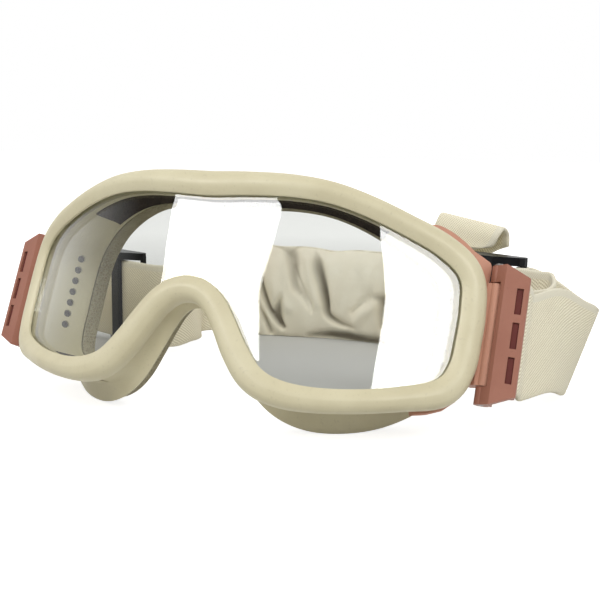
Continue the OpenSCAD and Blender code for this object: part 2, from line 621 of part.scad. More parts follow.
// Fabric lens cover, bunched on the strap: a tube with deep slanting folds round a flat bore
cover_at = 2 * straight_steps + 15;
cover_rings = 34;
cover_sides = 16;
function route_at(route, k, t) = let (i = floor(t))
  curve_at(route[i - 1][k], route[i][k], route[i + 1][k], route[i + 2][k], t - i);
cover_step = norm(back_route[cover_at][0] - back_route[cover_at + 1][0]);
function cover_fold(v, a) =
  1 + 0.16 * sin(360 * 3.2 * v + 1.4 * a) + 0.10 * sin(360 * 5.3 * v - 2 * a + 40);
module lens_cover() {
  rings = [for (i = [0:cover_rings - 1])
    let (v = i / (cover_rings - 1), t = cover_at + (v - 0.5) * cover_len / cover_step,
         here = route_at(back_route, 0, t), next = route_at(back_route, 0, t + 0.02),
         go = unit(next - here), face = unit(cross(go, upright)),
         swell = 0.35 + 0.65 * pow(sin(180 * (0.06 + 0.88 * v)), 0.6))
    concat(
      [for (j = [0:cover_sides - 1])
        let (a = 360 * (j + 0.5) / cover_sides,
             up = sign(sin(a)) * pow(abs(sin(a)), 0.8) * (strap_w / 2 + 1.6 + 1.9 * swell),
             out = cos(a) * cover_t / 2 * swell * cover_fold(v, a))
        [here[0] + face[0] * out, here[1] + face[1] * out, max(0, here[2] + up)]],
      [for (j = [0:cover_sides - 1])
        let (a = 360 * (j + 0.5) / cover_sides,
             up = sign(sin(a)) * pow(abs(sin(a)), 0.2) * (strap_w / 2 + 0.4),
             out = sign(cos(a)) * pow(abs(cos(a)), 0.2) * (strap_t / 2 + 0.5))
        [here[0] + face[0] * out, here[1] + face[1] * out, here[2] + up]])];
  m = 2 * cover_sides;
  n = cover_rings;
  last = (n - 1) * m;
  color([0.78, 0.74, 0.62]) polyhedron([for (r = rings) each r], concat(
    [for (i = [0:n - 2], j = [0:cover_sides - 1])
      let (k = (j + 1) % cover_sides, a = i * m, b = (i + 1) * m)
      each [[a + j, a + k, b + k], [a + j, b + k, b + j],
            [a + cover_sides + j, b + cover_sides + k, a + cover_sides + k],
            [a + cover_sides + j, b + cover_sides + j, b + cover_sides + k]]],
    [for (j = [0:cover_sides - 1])
      let (k = (j + 1) % cover_sides, c = cover_sides)
      each [[j, c + j, c + k], [j, c + k, k],
            [last + j, last + c + k, last + c + j], [last + j, last + k, last + c + k]]]), 4);
}

frame();
lens();
face_foam();
vent_foam_top();
vent_foam_bottom(-1);  // vent_foam_bottom_left
vent_foam_bottom(1);  // vent_foam_bottom_right
vent_foam_side(-1);  // vent_foam_side_left
vent_foam_side(1);  // vent_foam_side_right
outrigger_clip(-1);  // outrigger_clip_left
outrigger_clip(1);  // outrigger_clip_right
outrigger(-1);  // outrigger_left
outrigger(1);  // outrigger_right
hinge_pin(-1);  // hinge_pin_left
hinge_pin(1);  // hinge_pin_right
strap_wrap(-1);  // strap_wrap_left
strap_wrap(1);  // strap_wrap_right
slider_left();
slider_right();
strap_loop_left();
strap_loop_right();
strap_side_left();
strap_side_right();
strap_end_left();
strap_end_right();
strap_back();
lens_cover();
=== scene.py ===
"""Goggles with a moulded frame, a clear wrap-round lens, hinged strap brackets and an elastic strap."""
import math

import bpy
import numpy as np
from mathutils import Matrix, Vector


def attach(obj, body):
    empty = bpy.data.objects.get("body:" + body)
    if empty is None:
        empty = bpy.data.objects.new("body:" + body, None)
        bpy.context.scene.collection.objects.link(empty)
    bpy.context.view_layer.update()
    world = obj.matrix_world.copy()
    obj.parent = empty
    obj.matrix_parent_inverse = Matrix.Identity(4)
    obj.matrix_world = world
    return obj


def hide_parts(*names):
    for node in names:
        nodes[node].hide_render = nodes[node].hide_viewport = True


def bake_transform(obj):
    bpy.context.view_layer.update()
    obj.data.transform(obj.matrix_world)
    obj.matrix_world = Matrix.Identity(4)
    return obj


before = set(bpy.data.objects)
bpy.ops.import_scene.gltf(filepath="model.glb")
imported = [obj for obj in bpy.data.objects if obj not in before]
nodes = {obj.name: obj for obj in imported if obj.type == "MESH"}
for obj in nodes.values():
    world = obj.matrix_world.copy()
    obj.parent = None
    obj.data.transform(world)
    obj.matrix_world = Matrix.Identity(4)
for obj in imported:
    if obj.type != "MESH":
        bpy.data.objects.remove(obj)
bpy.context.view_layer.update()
scene = bpy.context.scene
scene.view_settings.view_transform = "Standard"

# Sizes in millimetres, as in the part's source
LENS_R = 140.0
LENS_T = 2.4
LENS_BITE = 2.4
LENS_GAP = 0.2
OPENING_HALF = 93.0
OPENING_TOP = 31.0
OPENING_DROP = 31.2
RIM_W = 10.1
RIM_PROUD = 3.4
BEVEL_W = 3.2
RIM_BACK = 5.6
WALL_T = 2.2
TEMPLE_DEPTH = 22.0
NOSE_DEPTH = 12.0
FLANGE_REACH = 8.6
LOBE_REACH = 12.8
FLANGE_T = 2.0
FOAM_T = 6.0
VENT_FOAM_T = 1.4
SKIN_GAP = 0.3
STRAP_W = 38.0
STRAP_T = 1.6
LEAN = math.radians(24)
REST_H = 52.3112
HALF_OUTLINE = [
    (0.000, 0.940, 0.46, 0, 0.97), (0.152, 0.968, 0.51, 0, 0.93), (0.323, 1.000, 0.59, 0, 0.87),
    (0.465, 0.987, 0.68, 0, 0.83), (0.606, 0.908, 0.74, 0, 0.81), (0.753, 0.780, 0.82, 0, 0.83),
    (0.890, 0.640, 0.95, 0, 0.90), (0.981, 0.450, 1.00, 0, 0.97), (1.000, 0.130, 1.00, 0, 1.00),
    (0.999, -0.190, 1.00, 0, 1.00), (0.990, -0.470, 0.98, 0.05, 1.00),
    (0.950, -0.670, 1.02, 0.30, 0.97), (0.829, -0.820, 1.14, 0.80, 0.82),
    (0.687, -0.935, 1.06, 1.00, 0.78), (0.541, -1.000, 1.00, 0.95, 0.80),
    (0.425, -0.992, 0.84, 0.60, 0.87), (0.339, -0.900, 0.64, 0.15, 0.93),
    (0.269, -0.675, 0.44, 0, 0.93), (0.209, -0.417, 0.26, 0, 0.89), (0.152, -0.202, 0.12, 0, 0.87),
    (0.081, -0.050, 0.02, 0, 0.86), (0.000, 0.000, 0.00, 0, 0.86),
]
OUTLINE = HALF_OUTLINE + [(-p[0], *p[1:]) for p in HALF_OUTLINE[-2:0:-1]]


# Curves and skins
def spline(points, steps, closed=False):
    """Catmull-Rom curve through rows of numbers."""
    pts = np.array(points, float)
    n = len(pts)
    out = []
    for i in range(n if closed else n - 1):
        near = range(i - 1, i + 3)
        a, b, c, d = (pts[k % n] if closed else pts[min(max(k, 0), n - 1)] for k in near)
        for k in range(steps):
            t = k / steps
            out.append(0.5 * (2 * b + (c - a) * t + (2 * a - 5 * b + 4 * c - d) * t * t
                              + (3 * b - a - 3 * c + d) * t ** 3))
    if not closed:
        out.append(pts[-1])
    return np.array(out)


def stations(steps):
    """Rows of along, up, flange depth, flange reach and rim width, and the way out of the opening."""
    p = spline(OUTLINE, steps, closed=True)
    rows = np.column_stack([
        p[:, 0] * OPENING_HALF, p[:, 1] * np.where(p[:, 1] > 0, OPENING_TOP, OPENING_DROP),
        NOSE_DEPTH + p[:, 2] * (TEMPLE_DEPTH - NOSE_DEPTH),
        FLANGE_REACH + p[:, 3] * (LOBE_REACH - FLANGE_REACH), RIM_W * p[:, 4]])
    third = steps // 3
    t = np.roll(rows[:, :2], -third, 0) - np.roll(rows[:, :2], third, 0)
    out = np.column_stack([-t[:, 1], t[:, 0]])
    return rows, out / np.linalg.norm(out, axis=1)[:, None]


def on_lens(s, z, d):
    """Points at a length s round the lens, a height z and a depth d behind its front."""
    phi = np.asarray(s) / LENS_R
    return np.stack(np.broadcast_arrays((LENS_R - d) * np.sin(phi),
                                        LENS_R - (LENS_R - d) * np.cos(phi), z), axis=-1)


def leant(p):
    """From the upright goggles to the way they stand, in millimetres."""
    p = np.asarray(p, float)
    c, s = math.cos(LEAN), math.sin(LEAN)
    return np.stack([p[..., 0], p[..., 1] * c + p[..., 2] * s,
                     p[..., 2] * c - p[..., 1] * s + REST_H], axis=-1)


def rounded(points, radii, steps=3):
    """A closed outline with its corners rounded, by one radius or by one for each corner."""
    pts = np.array(points, float)
    n = len(pts)
    radii = np.broadcast_to(radii, n)
    out = []
    for i in range(n):
        a, b, c = pts[i - 1], pts[i], pts[(i + 1) % n]
        if radii[i] <= 0:
            out.append(b)
            continue
        u, v = a - b, c - b
        lu, lv = np.linalg.norm(u), np.linalg.norm(v)
        k = min(radii[i], 0.45 * lu, 0.45 * lv)
        p, q = b + u / lu * k, b + v / lv * k
        for j in range(steps + 1):
            t = j / steps
            out.append((1 - t) ** 2 * p + 2 * t * (1 - t) * b + t * t * q)
    return np.array(out)


def shade_smooth(mesh, angle):
    """Smooth shading, with the edges over an angle in degrees left sharp."""
    mesh.polygons.foreach_set("use_smooth", [True] * len(mesh.polygons))
    mesh.set_sharp_from_angle(angle=math.radians(angle))


def make(name, verts, faces, body, stands_for=(), smooth=35, uv=None):
    """A mesh piece in metres, from points in millimetres. uv is a pair of numbers for each point."""
    mesh = bpy.data.meshes.new(name)
    mesh.from_pydata([tuple(v) for v in np.asarray(verts, float) / 1000], [], faces)
    mesh.validate()
    if uv is not None:
        layer = mesh.uv_layers.new(name="UVMap")
        index = np.zeros(len(mesh.loops), np.int32)
        mesh.loops.foreach_get("vertex_index", index)
        layer.data.foreach_set("uv", np.asarray(uv, np.float32)[index].ravel())
    shade_smooth(mesh, smooth)
    piece = bpy.data.objects.new(name, mesh)
    scene.collection.objects.link(piece)
    if body:
        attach(piece, body)
    if stands_for:
        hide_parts(*stands_for)
    return piece


def skin(rings, closed):
    """Points and faces of rings joined one to the next, either all the way round or with flat ends."""
    rings = np.array(rings, float)
    n, m = rings.shape[:2]
    faces = []
    for i in range(n if closed else n - 1):
        for j in range(m):
            k = (j + 1) % m
            e = (i + 1) % n
            faces.append((i * m + j, i * m + k, e * m + k, e * m + j))
    if not closed:
        faces.append(tuple(range(m))[::-1])
        faces.append(tuple((n - 1) * m + j for j in range(m)))
    return rings.reshape(-1, 3), faces


def section_ring(row, out, section):
    """A section, as away from the opening and behind the lens's front, set at a station."""
    s = row[0] + section[:, 0] * out[0]
    z = row[1] + section[:, 0] * out[1]
    return leant(on_lens(s, z, section[:, 1]))


# Camera, fitted to the photograph
PHOTO_SIZE = 600
FOCAL_LENGTH = 939.188
camera_data = bpy.data.cameras.new("camera")
camera = bpy.data.objects.new("camera", camera_data)
scene.collection.objects.link(camera)
scene.camera = camera
camera_data.sensor_width = 36
camera_data.lens = 36 * FOCAL_LENGTH / PHOTO_SIZE
camera_data.clip_start, camera_data.clip_end = 0.01, 20
camera_place = Vector((0.16346, -0.27440, (44.968 + REST_H) / 1000))
camera_right = Vector((0.91195, 0.41002, 0.01505))
camera_up = Vector((-0.08064, 0.14315, 0.98641))
camera_look = Vector((-0.40230, 0.90077, -0.16361))
camera_turn = Matrix((camera_right, camera_up, -camera_look)).transposed().to_4x4()
camera.matrix_world = Matrix.Translation(camera_place) @ camera_turn


# Materials
def feed(tree, socket, value):
    """Gives a socket a link or a plain value."""
    if isinstance(value, bpy.types.NodeSocket):
        tree.links.new(value, socket)
    else:
        socket.default_value = value


def node(tree, kind, props=(), **inputs):
    """A new node with its properties set and its inputs fed by name, or by number as i0 or i1."""
    n = tree.nodes.new(kind)
    for key, value in dict(props).items():
        setattr(n, key, value)
    for key, value in inputs.items():
        numbered = key[0] == "i" and key[1:].isdigit()
        feed(tree, n.inputs[int(key[1:]) if numbered else key], value)
    return n


def maths(tree, operation, *values):
    n = node(tree, "ShaderNodeMath", {"operation": operation})
    for socket, value in zip(n.inputs, values):
        feed(tree, socket, value)
    return n.outputs[0]


def blend_colours(tree, factor, a, b):
    return node(tree, "ShaderNodeMix", {"data_type": "RGBA"}, i0=factor, i6=a, i7=b).outputs[2]


def srgb(r, g, b):
    """A colour as it looks on screen, from 0 to 255, as the shader's linear numbers."""
    return tuple((c / 255 / 12.92 if c / 255 <= 0.04045 else ((c / 255 + 0.055) / 1.055) ** 2.4)
                 for c in (r, g, b)) + (1.0,)


def new_material(name, roughness, specular=0.5):
    mat = bpy.data.materials.new(name)
    mat.use_nodes = True
    tree = mat.node_tree
    shader = tree.nodes["Principled BSDF"]
    shader.inputs["Roughness"].default_value = roughness
    shader.inputs["Specular IOR Level"].default_value = specular
    return mat, tree, shader


def bare_material(name):
    """A material with only its output node, and that node's surface socket."""
    mat = bpy.data.materials.new(name)
    mat.use_nodes = True
    tree = mat.node_tree
    tree.nodes.remove(tree.nodes["Principled BSDF"])
    return mat, tree, tree.nodes["Material Output"].inputs["Surface"]


def coordinates(tree, kind="Object"):
    return node(tree, "ShaderNodeTexCoord").outputs[kind]


def noise(tree, place, scale, detail=3.0, roughness=0.5):
    return node(tree, "ShaderNodeTexNoise", Vector=place, Scale=scale, Detail=detail,
                Roughness=roughness).outputs["Fac"]


def ramp(tree, factor, low, high):
    """factor stretched from low..high to 0..1, and held there."""
    n = node(tree, "ShaderNodeMapRange", i0=factor, i1=low, i2=high)
    n.clamp = True
    return n.outputs[0]


def waves(tree, value, pitch):
    return maths(tree, "SINE", maths(tree, "MULTIPLY", value, 2 * math.pi / pitch))


def bumped(tree, shader, height, strength, distance=0.0002):
    bump = node(tree, "ShaderNodeBump", Height=height, Strength=strength, Distance=distance)
    tree.links.new(bump.outputs[0], shader.inputs["Normal"])


def moulded(name, light, dark, roughness, grain, grain_size=1400.0, specular=0.4):
    """Moulded plastic or rubber: slow colour drift, a fine grain and small scuffs."""
    mat, tree, shader = new_material(name, roughness, specular)
    place = coordinates(tree)
    drift = noise(tree, place, 45.0, 4.0, 0.55)
    specks = ramp(tree, noise(tree, place, 900.0, 2.0), 0.62, 0.74)
    colour = blend_colours(tree, ramp(tree, drift, 0.35, 0.68), light, dark)
    colour = blend_colours(tree, maths(tree, "MULTIPLY", specks, 0.10), colour, (0.12, 0.09, 0.06, 1))
    tree.links.new(colour, shader.inputs["Base Color"])
    scuff = ramp(tree, noise(tree, place, 160.0, 5.0, 0.7), 0.45, 0.75)
    tree.links.new(maths(tree, "MULTIPLY_ADD", scuff, 0.14, roughness - 0.05), shader.inputs["Roughness"])
    bumped(tree, shader, noise(tree, place, grain_size, 3.0, 0.6), grain)
    return mat


def woven(name, light, dark):
    """Webbing: fine slanting ribs of small yarns, with a greyer close weave along its upper edge.
    Its UVs are millimetres along and across the strap."""
    slant = math.radians(32.0)
    rib, yarn, edge_row, edge_column = 1.12, 0.8, 0.9, 1.1
    mat, tree, shader = new_material(name, 0.88, 0.15)
    uv = coordinates(tree, "UV")
    split = node(tree, "ShaderNodeSeparateXYZ", Vector=uv)
    u, v = split.outputs[0], split.outputs[1]
    wobble = noise(tree, uv, 0.35)
    c, s = math.cos(slant), math.sin(slant)
    across = maths(tree, "SUBTRACT", maths(tree, "MULTIPLY", v, c), maths(tree, "MULTIPLY", u, s))
    across = maths(tree, "ADD", across, maths(tree, "MULTIPLY", wobble, 0.5))
    along = maths(tree, "ADD", maths(tree, "MULTIPLY", u, c), maths(tree, "MULTIPLY", v, s))
    body = maths(tree, "MULTIPLY_ADD", waves(tree, across, rib), 0.30, 0.5)
    body = maths(tree, "MULTIPLY_ADD", waves(tree, along, yarn), 0.14, body)
    checks = maths(tree, "MULTIPLY", waves(tree, u, edge_row), waves(tree, v, edge_column))
    edge = maths(tree, "MULTIPLY_ADD", checks, 0.4, 0.5)
    # The close weave starts 16 mm above the strap's middle, and 17.6 mm below it
    at_edge = ramp(tree, v, 15.8, 16.3)
    low_edge = ramp(tree, maths(tree, "MULTIPLY", v, -1.0), 17.4, 17.8)
    either = maths(tree, "MAXIMUM", at_edge, low_edge)
    height = maths(tree, "ADD", maths(tree, "MULTIPLY", edge, either),
                   maths(tree, "MULTIPLY", body, maths(tree, "SUBTRACT", 1.0, either)))
    fuzz = noise(tree, uv, 3.5, 4.0, 0.7)
    height = maths(tree, "ADD", height, maths(tree, "MULTIPLY", fuzz, 0.25))
    patch = ramp(tree, noise(tree, uv, 0.12, 2.0), 0.3, 0.7)
    colour = blend_colours(tree, ramp(tree, height, 0.25, 0.85), dark, light)
    colour = blend_colours(tree, maths(tree, "MULTIPLY", patch, 0.16), colour, srgb(226, 214, 190))
    colour = blend_colours(tree, maths(tree, "MULTIPLY", at_edge, 0.5), colour, srgb(222, 218, 202))
    tree.links.new(colour, shader.inputs["Base Color"])
    bumped(tree, shader, height, 0.7)
    shader.inputs["Sheen Weight"].default_value = 0.15
    shader.inputs["Sheen Roughness"].default_value = 0.5
    return mat


def foam(name, light, dark):
    """Open-cell foam: dark pits between small light walls."""
    mat, tree, shader = new_material(name, 0.95, 0.15)
    place = coordinates(tree)
    cells = node(tree, "ShaderNodeTexVoronoi", {"feature": "DISTANCE_TO_EDGE"}, Vector=place,
                 Scale=900.0).outputs["Distance"]
    pits = ramp(tree, cells, 0.02, 0.35)
    patch = noise(tree, place, 90.0, 3.0)
    colour = blend_colours(tree, pits, light, dark)
    colour = blend_colours(tree, maths(tree, "MULTIPLY", ramp(tree, patch, 0.3, 0.7), 0.35), colour, light)
    tree.links.new(colour, shader.inputs["Base Color"])
    bumped(tree, shader, maths(tree, "SUBTRACT", 1.0, pits), 0.8, 0.0005)
    return mat


def knit(name, light, dark, deep):
    """Smooth fine cloth of the lens cover, with a soft sheen and faint creases. Its U is how deep a
    fold is; there the colour is painted darker towards the deep colour, as shade in the folds."""
    mat, tree, shader = new_material(name, 0.72, 0.25)
    place = coordinates(tree)
    fine = noise(tree, place, 1900.0, 2.0)
    creases = noise(tree, place, 130.0, 5.0, 0.62)
    drift = noise(tree, place, 35.0, 3.0)
    colour = blend_colours(tree, ramp(tree, drift, 0.3, 0.7), light, dark)
    colour = blend_colours(tree, maths(tree, "MULTIPLY", ramp(tree, fine, 0.4, 0.7), 0.18), colour, dark)
    # Painted shade: deep folds darken the colour towards the deep colour
    pressed = node(tree, "ShaderNodeSeparateXYZ", Vector=coordinates(tree, "UV")).outputs[0]
    pressed = maths(tree, "MULTIPLY", ramp(tree, pressed, 0.1, 1.0), 0.88)
    colour = blend_colours(tree, pressed, colour, deep)
    tree.links.new(colour, shader.inputs["Base Color"])
    height = maths(tree, "ADD", maths(tree, "MULTIPLY", creases, 3.0), maths(tree, "MULTIPLY", fine, 0.3))
    bumped(tree, shader, height, 0.35, 0.0006)
    shader.inputs["Sheen Weight"].default_value = 0.3
    shader.inputs["Sheen Roughness"].default_value = 0.4
    return mat


def clear_plastic(name):
    """Thin clear sheet: it dims what is behind it a little, and reflects by its angle."""
    mat, tree, surface = bare_material(name)
    place = coordinates(tree)
    smear = ramp(tree, noise(tree, place, 60.0, 4.0, 0.6), 0.5, 0.8)
    through = node(tree, "ShaderNodeBsdfTransparent", Color=(0.905, 0.912, 0.900, 1))
    gloss = node(tree, "ShaderNodeBsdfAnisotropic", Color=(1, 1, 1, 1),
                 Roughness=maths(tree, "MULTIPLY_ADD", smear, 0.02, 0.004))
    back = node(tree, "ShaderNodeNewGeometry").outputs["Backfacing"]
    ior = node(tree, "ShaderNodeMapRange", i0=back, i3=1.5, i4=1 / 1.5)
    fresnel = node(tree, "ShaderNodeFresnel", IOR=ior.outputs[0])
    mix = node(tree, "ShaderNodeMixShader", i0=fresnel.outputs[0], i1=through.outputs[0],
               i2=gloss.outputs[0])
    tree.links.new(mix.outputs[0], surface)
    return mat


RUBBER = moulded("frame_rubber", srgb(214, 206, 174), srgb(204, 195, 162), 0.5, 0.10)
BRACKET = moulded("bracket_plastic", srgb(161, 109, 91), srgb(151, 98, 81), 0.5, 0.14, 1100.0, 0.2)
# Painted light: the clips get a lighter red than the brackets', standing in for light on their panels beside
# the rim
CLIP_PAINTED_LIGHT = moulded("clip_plastic_painted_light", srgb(205, 153, 130), srgb(195, 142, 120), 0.5, 0.14, 1100.0, 0.2)
# Painted shade: a dark red for sheets in the plates' slots, standing in for the shade in those recesses
SLOT_SHADE = moulded("slot_painted_shade", srgb(104, 50, 44), srgb(88, 40, 36), 0.6, 0.10, 1100.0, 0.15)
BLACK = moulded("slider_plastic", srgb(18, 22, 28), srgb(11, 13, 18), 0.36, 0.05, 700.0, 0.25)
STEEL = moulded("pin_steel", srgb(120, 118, 115), srgb(90, 88, 86), 0.35, 0.05)
WEBBING = woven("webbing", srgb(252, 246, 222), srgb(208, 199, 168))
# The cover's third colour is painted shade for its deep folds
COVER = knit("cover_fabric", srgb(254, 249, 231), srgb(243, 233, 212), srgb(92, 82, 64))
FACE_FOAM = foam("face_foam", srgb(186, 178, 152), srgb(152, 142, 116))
VENT_FOAM = foam("vent_foam", srgb(66, 55, 46), srgb(32, 27, 23))
CLEAR = clear_plastic("clear_lens")


def dress(piece, mat):
    piece.data.materials.clear()
    piece.data.materials.append(mat)
    return piece


def dress_node(name, mat, bevel=0.0):
    """A CAD node keeps its mesh and gets a material, with its corners eased by modifiers."""
    piece = nodes[name]
    for slot in piece.material_slots:
        slot.material = mat
    if bevel:
        weld = piece.modifiers.new("weld", "WELD")
        weld.merge_threshold = 0.00001
        ease = piece.modifiers.new("ease", "BEVEL")
        ease.width = bevel / 1000
        ease.segments = 2
        ease.limit_method = "ANGLE"
        ease.angle_limit = math.radians(38)


# Frame: the same loft as the solid, with finer stations and eased corners
INNER_LIP = 0.4
GROOVE_U = LENS_BITE + 2
WALL_OUT = GROOVE_U + 1.2
WALL_IN = WALL_OUT - WALL_T
EDGE_IN = 2.8


def frame_section(depth, reach, rim):
    """Round the frame's moulding at one station: rim, wall, flange, then back inside to the lens groove."""
    points = [
        (0, -1.2), (BEVEL_W, -RIM_PROUD), (rim * 0.64, -RIM_PROUD * 0.94), (rim * 0.89, -RIM_PROUD * 0.55),
        (rim, 0.6), (rim - 0.3, RIM_BACK - 1.4), (rim - 1.6, RIM_BACK), (WALL_OUT + 0.2, RIM_BACK + 0.8),
        (WALL_OUT, depth - FLANGE_T - 2.4), (reach - 1.2, depth - FLANGE_T), (reach, depth - FLANGE_T * 0.5),
        (reach - 0.6, depth), (EDGE_IN, depth), (EDGE_IN - 0.4, depth - FLANGE_T * 0.6),
        (WALL_IN - 0.6, depth - FLANGE_T), (WALL_IN, depth - FLANGE_T - 2.4), (WALL_IN, RIM_BACK - 0.2),
        (INNER_LIP, RIM_BACK - 1), (INNER_LIP, LENS_T + LENS_GAP), (GROOVE_U, LENS_T + LENS_GAP),
        (GROOVE_U, -LENS_GAP), (0.2, -LENS_GAP)]
    radii = [0.3, 1.3, 2.0, 1.6, 1.2, 0.9, 0.8, 0.8, 1.2, 0.9, 0.5,
             0.5, 0.5, 0.4, 1.0, 0.8, 0.6, 0.3, 0, 0, 0, 0.2]
    return rounded(points, radii, 2)


STEPS = 9
rows, ways = stations(STEPS)
frame_rings = [section_ring(r, w, frame_section(r[2], r[3], r[4])) for r, w in zip(rows, ways)]
verts, faces = skin(frame_rings, closed=True)
shell = make("frame_shell", verts, faces, None)


def cutter_box(s, z, depth, size):
    """A box turned with the lens at s, sized along it, into it and up."""
    phi = s / LENS_R
    c, sn = math.cos(phi), math.sin(phi)
    centre = on_lens(s, z, depth)
    corners = []
    for dx, dy, dz in [(x, y, h) for x in (-1, 1) for y in (-1, 1) for h in (-1, 1)]:
        a, b, e = dx * size[0] / 2, dy * size[1] / 2, dz * size[2] / 2
        corners.append(leant(centre + np.array([a * c - b * sn, a * sn + b * c, e])))
    faces = [(0, 1, 3, 2), (4, 6, 7, 5), (0, 4, 5, 1), (2, 3, 7, 6), (0, 2, 6, 4), (1, 5, 7, 3)]
    return corners, faces


def cutter_round(s, z, depth, d, length):
    """A rod of a diameter d that points along the lens at s."""
    phi = s / LENS_R
    axis = np.array([math.cos(phi), math.sin(phi), 0.0])
    side = np.array([-math.sin(phi), math.cos(phi), 0.0])
    centre = on_lens(s, z, depth)
    rings = []
    for end in (-length / 2, length / 2):
        ring = []
        for a in np.linspace(0, 2 * math.pi, 28, endpoint=False):
            rise = np.array([0, 0, d / 2 * math.sin(a)])
            ring.append(leant(centre + axis * end + side * d / 2 * math.cos(a) + rise))
        rings.append(ring)
    return skin(rings, closed=False)


# Vents: a column of round holes at each temple, and slots in the top and bottom walls
HOLE_DEPTH, HOLE_D, HOLE_CUT = 14.0, 3.0, 6.6
HOLE_LOWEST, HOLE_PITCH, HOLE_COUNT = -13.6, 4.7, 7
HOLE_OUT = OPENING_HALF + WALL_OUT - WALL_T / 2
VENT_BOX = (9, 5, 14)
TOP_VENT_COUNT, TOP_VENT_PITCH, TOP_VENT_UP, TOP_VENT_DEPTH = 4, 13, OPENING_TOP + 4, 9.5
LOW_VENTS, LOW_VENT_UP, LOW_VENT_DEPTH = (48, 62, 76), -OPENING_DROP - 2.5, 13
cuts = []
for sign in (-1, 1):
    for k in range(HOLE_COUNT):
        cuts.append(cutter_round(sign * HOLE_OUT, HOLE_LOWEST + HOLE_PITCH * k, HOLE_DEPTH, HOLE_D,
                                 HOLE_CUT))
    for k in range(TOP_VENT_COUNT):
        cuts.append(cutter_box(sign * (k + 0.5) * TOP_VENT_PITCH, TOP_VENT_UP, TOP_VENT_DEPTH, VENT_BOX))
    for s in LOW_VENTS:
        cuts.append(cutter_box(sign * s, LOW_VENT_UP, LOW_VENT_DEPTH, VENT_BOX))
cut_verts, cut_faces = [], []
for v, f in cuts:
    base = len(cut_verts)
    cut_verts.extend(np.asarray(v).reshape(-1, 3))
    cut_faces.extend(tuple(i + base for i in face) for face in f)
cutter = make("vent_cutter", cut_verts, cut_faces, None)
cut = shell.modifiers.new("vents", "BOOLEAN")
cut.operation, cut.solver, cut.object = "DIFFERENCE", "EXACT", cutter
cut_mesh = bpy.data.meshes.new_from_object(shell.evaluated_get(bpy.context.evaluated_depsgraph_get()))
shell.modifiers.clear()
shell.data = cut_mesh
bpy.data.objects.remove(cutter)
shade_smooth(cut_mesh, 38)
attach(shell, "goggles")
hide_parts("frame")
dress(shell, RUBBER)

# Lens: a fine grid between the outline's upper and lower halves, bent round the cylinder
ACROSS_STEPS, UP_STEPS = 140, 24
edge_s, edge_z = (rows[:, :2] + ways * LENS_BITE).T
rightmost = int(np.argmax(edge_s))
leftmost = int(np.argmin(edge_s))
top_i = np.r_[leftmost:len(rows), 0:rightmost + 1]
low_i = np.arange(rightmost, leftmost + 1)[::-1]
across = np.sin(np.linspace(-math.pi / 2, math.pi / 2, ACROSS_STEPS + 1)) * (edge_s.max() - 0.05)
top_z = np.interp(across, edge_s[top_i], edge_z[top_i])
low_z = np.interp(across, edge_s[low_i], edge_z[low_i])
grid = []
for depth in (0.0, LENS_T):
    for i, s in enumerate(across):
        z = np.linspace(low_z[i], top_z[i], UP_STEPS + 1)
        grid.append(leant(on_lens(np.full_like(z, s), z, depth)))
lens_verts = np.concatenate(grid)
m, n = UP_STEPS + 1, len(across)
lens_faces = []
for layer in (0, 1):
    for i in range(n - 1):
        for j in range(UP_STEPS):
            q = [layer * n * m + a for a in (i * m + j, (i + 1) * m + j, (i + 1) * m + j + 1, i * m + j + 1)]
            lens_faces.append(tuple(q if layer == 0 else q[::-1]))
rim_loop = ([i * m for i in range(n)] + [(n - 1) * m + j for j in range(1, m)]
            + [i * m + m - 1 for i in range(n - 2, -1, -1)] + [j for j in range(m - 2, 0, -1)])
for a, b in zip(rim_loop, rim_loop[1:] + rim_loop[:1]):
    lens_faces.append((b, a, a + n * m, b + n * m))
lens = make("lens_sheet", lens_verts, lens_faces, "goggles", ["lens"], smooth=50)
dress(lens, CLEAR)


# Face foam: a padded ring on the flange
def foam_section(depth, reach):
    """Round the foam at one station, from the flange to its soft crown and back."""
    points = [(EDGE_IN, depth + SKIN_GAP), (reach - 1.6, depth + SKIN_GAP),
              (reach - 1.8, depth + FOAM_T * 0.3), (reach - 3.1, depth + FOAM_T * 0.8),
              (reach - 4.4, depth + FOAM_T), (EDGE_IN + 0.8, depth + FOAM_T),
              (EDGE_IN - 0.1, depth + FOAM_T * 0.8), (EDGE_IN - 0.3, depth + FOAM_T * 0.3)]
    return rounded(points, [0.2, 0.3, 1.2, 1.6, 1.8, 1.8, 1.6, 1.2], 3)


foam_rings = [section_ring(r, w, foam_section(r[2], r[3])) for r, w in zip(rows, ways)]
verts, faces = skin(foam_rings, closed=True)
pad = dress(make("face_foam_ring", verts, faces, "goggles", ["face_foam"]), FACE_FOAM)

# Vent foam
STRIP_TOP = WALL_IN - SKIN_GAP
STRIP_LOW = STRIP_TOP - VENT_FOAM_T
STRIP_FRONT = RIM_BACK + 0.4


def strip(name, node_name, first, last, section, mirrored=False):
    """A foam strip between two stations of the outline."""
    rings = []
    for i in range(round(first * STEPS), round(last * STEPS) + 1, 3):
        r, w = rows[i % len(rows)], ways[i % len(rows)]
        ring = section_ring(r, w, rounded(section(r[2]), 0.35, 1))
        rings.append(ring * np.array([-1 if mirrored else 1, 1, 1]))
    v, f = skin(rings, closed=False)
    if mirrored:
        f = [tuple(reversed(x)) for x in f]
    piece = make(name, v, f, "goggles", [node_name])
    dress(piece, VENT_FOAM)


def top_section(depth):
    lip = depth - FLANGE_T - SKIN_GAP
    return [(STRIP_LOW, STRIP_FRONT), (STRIP_TOP, STRIP_FRONT), (STRIP_TOP, lip - 2.5),
            (STRIP_TOP - 0.7, lip), (STRIP_LOW - 0.4, lip), (STRIP_LOW, lip - 2.5)]


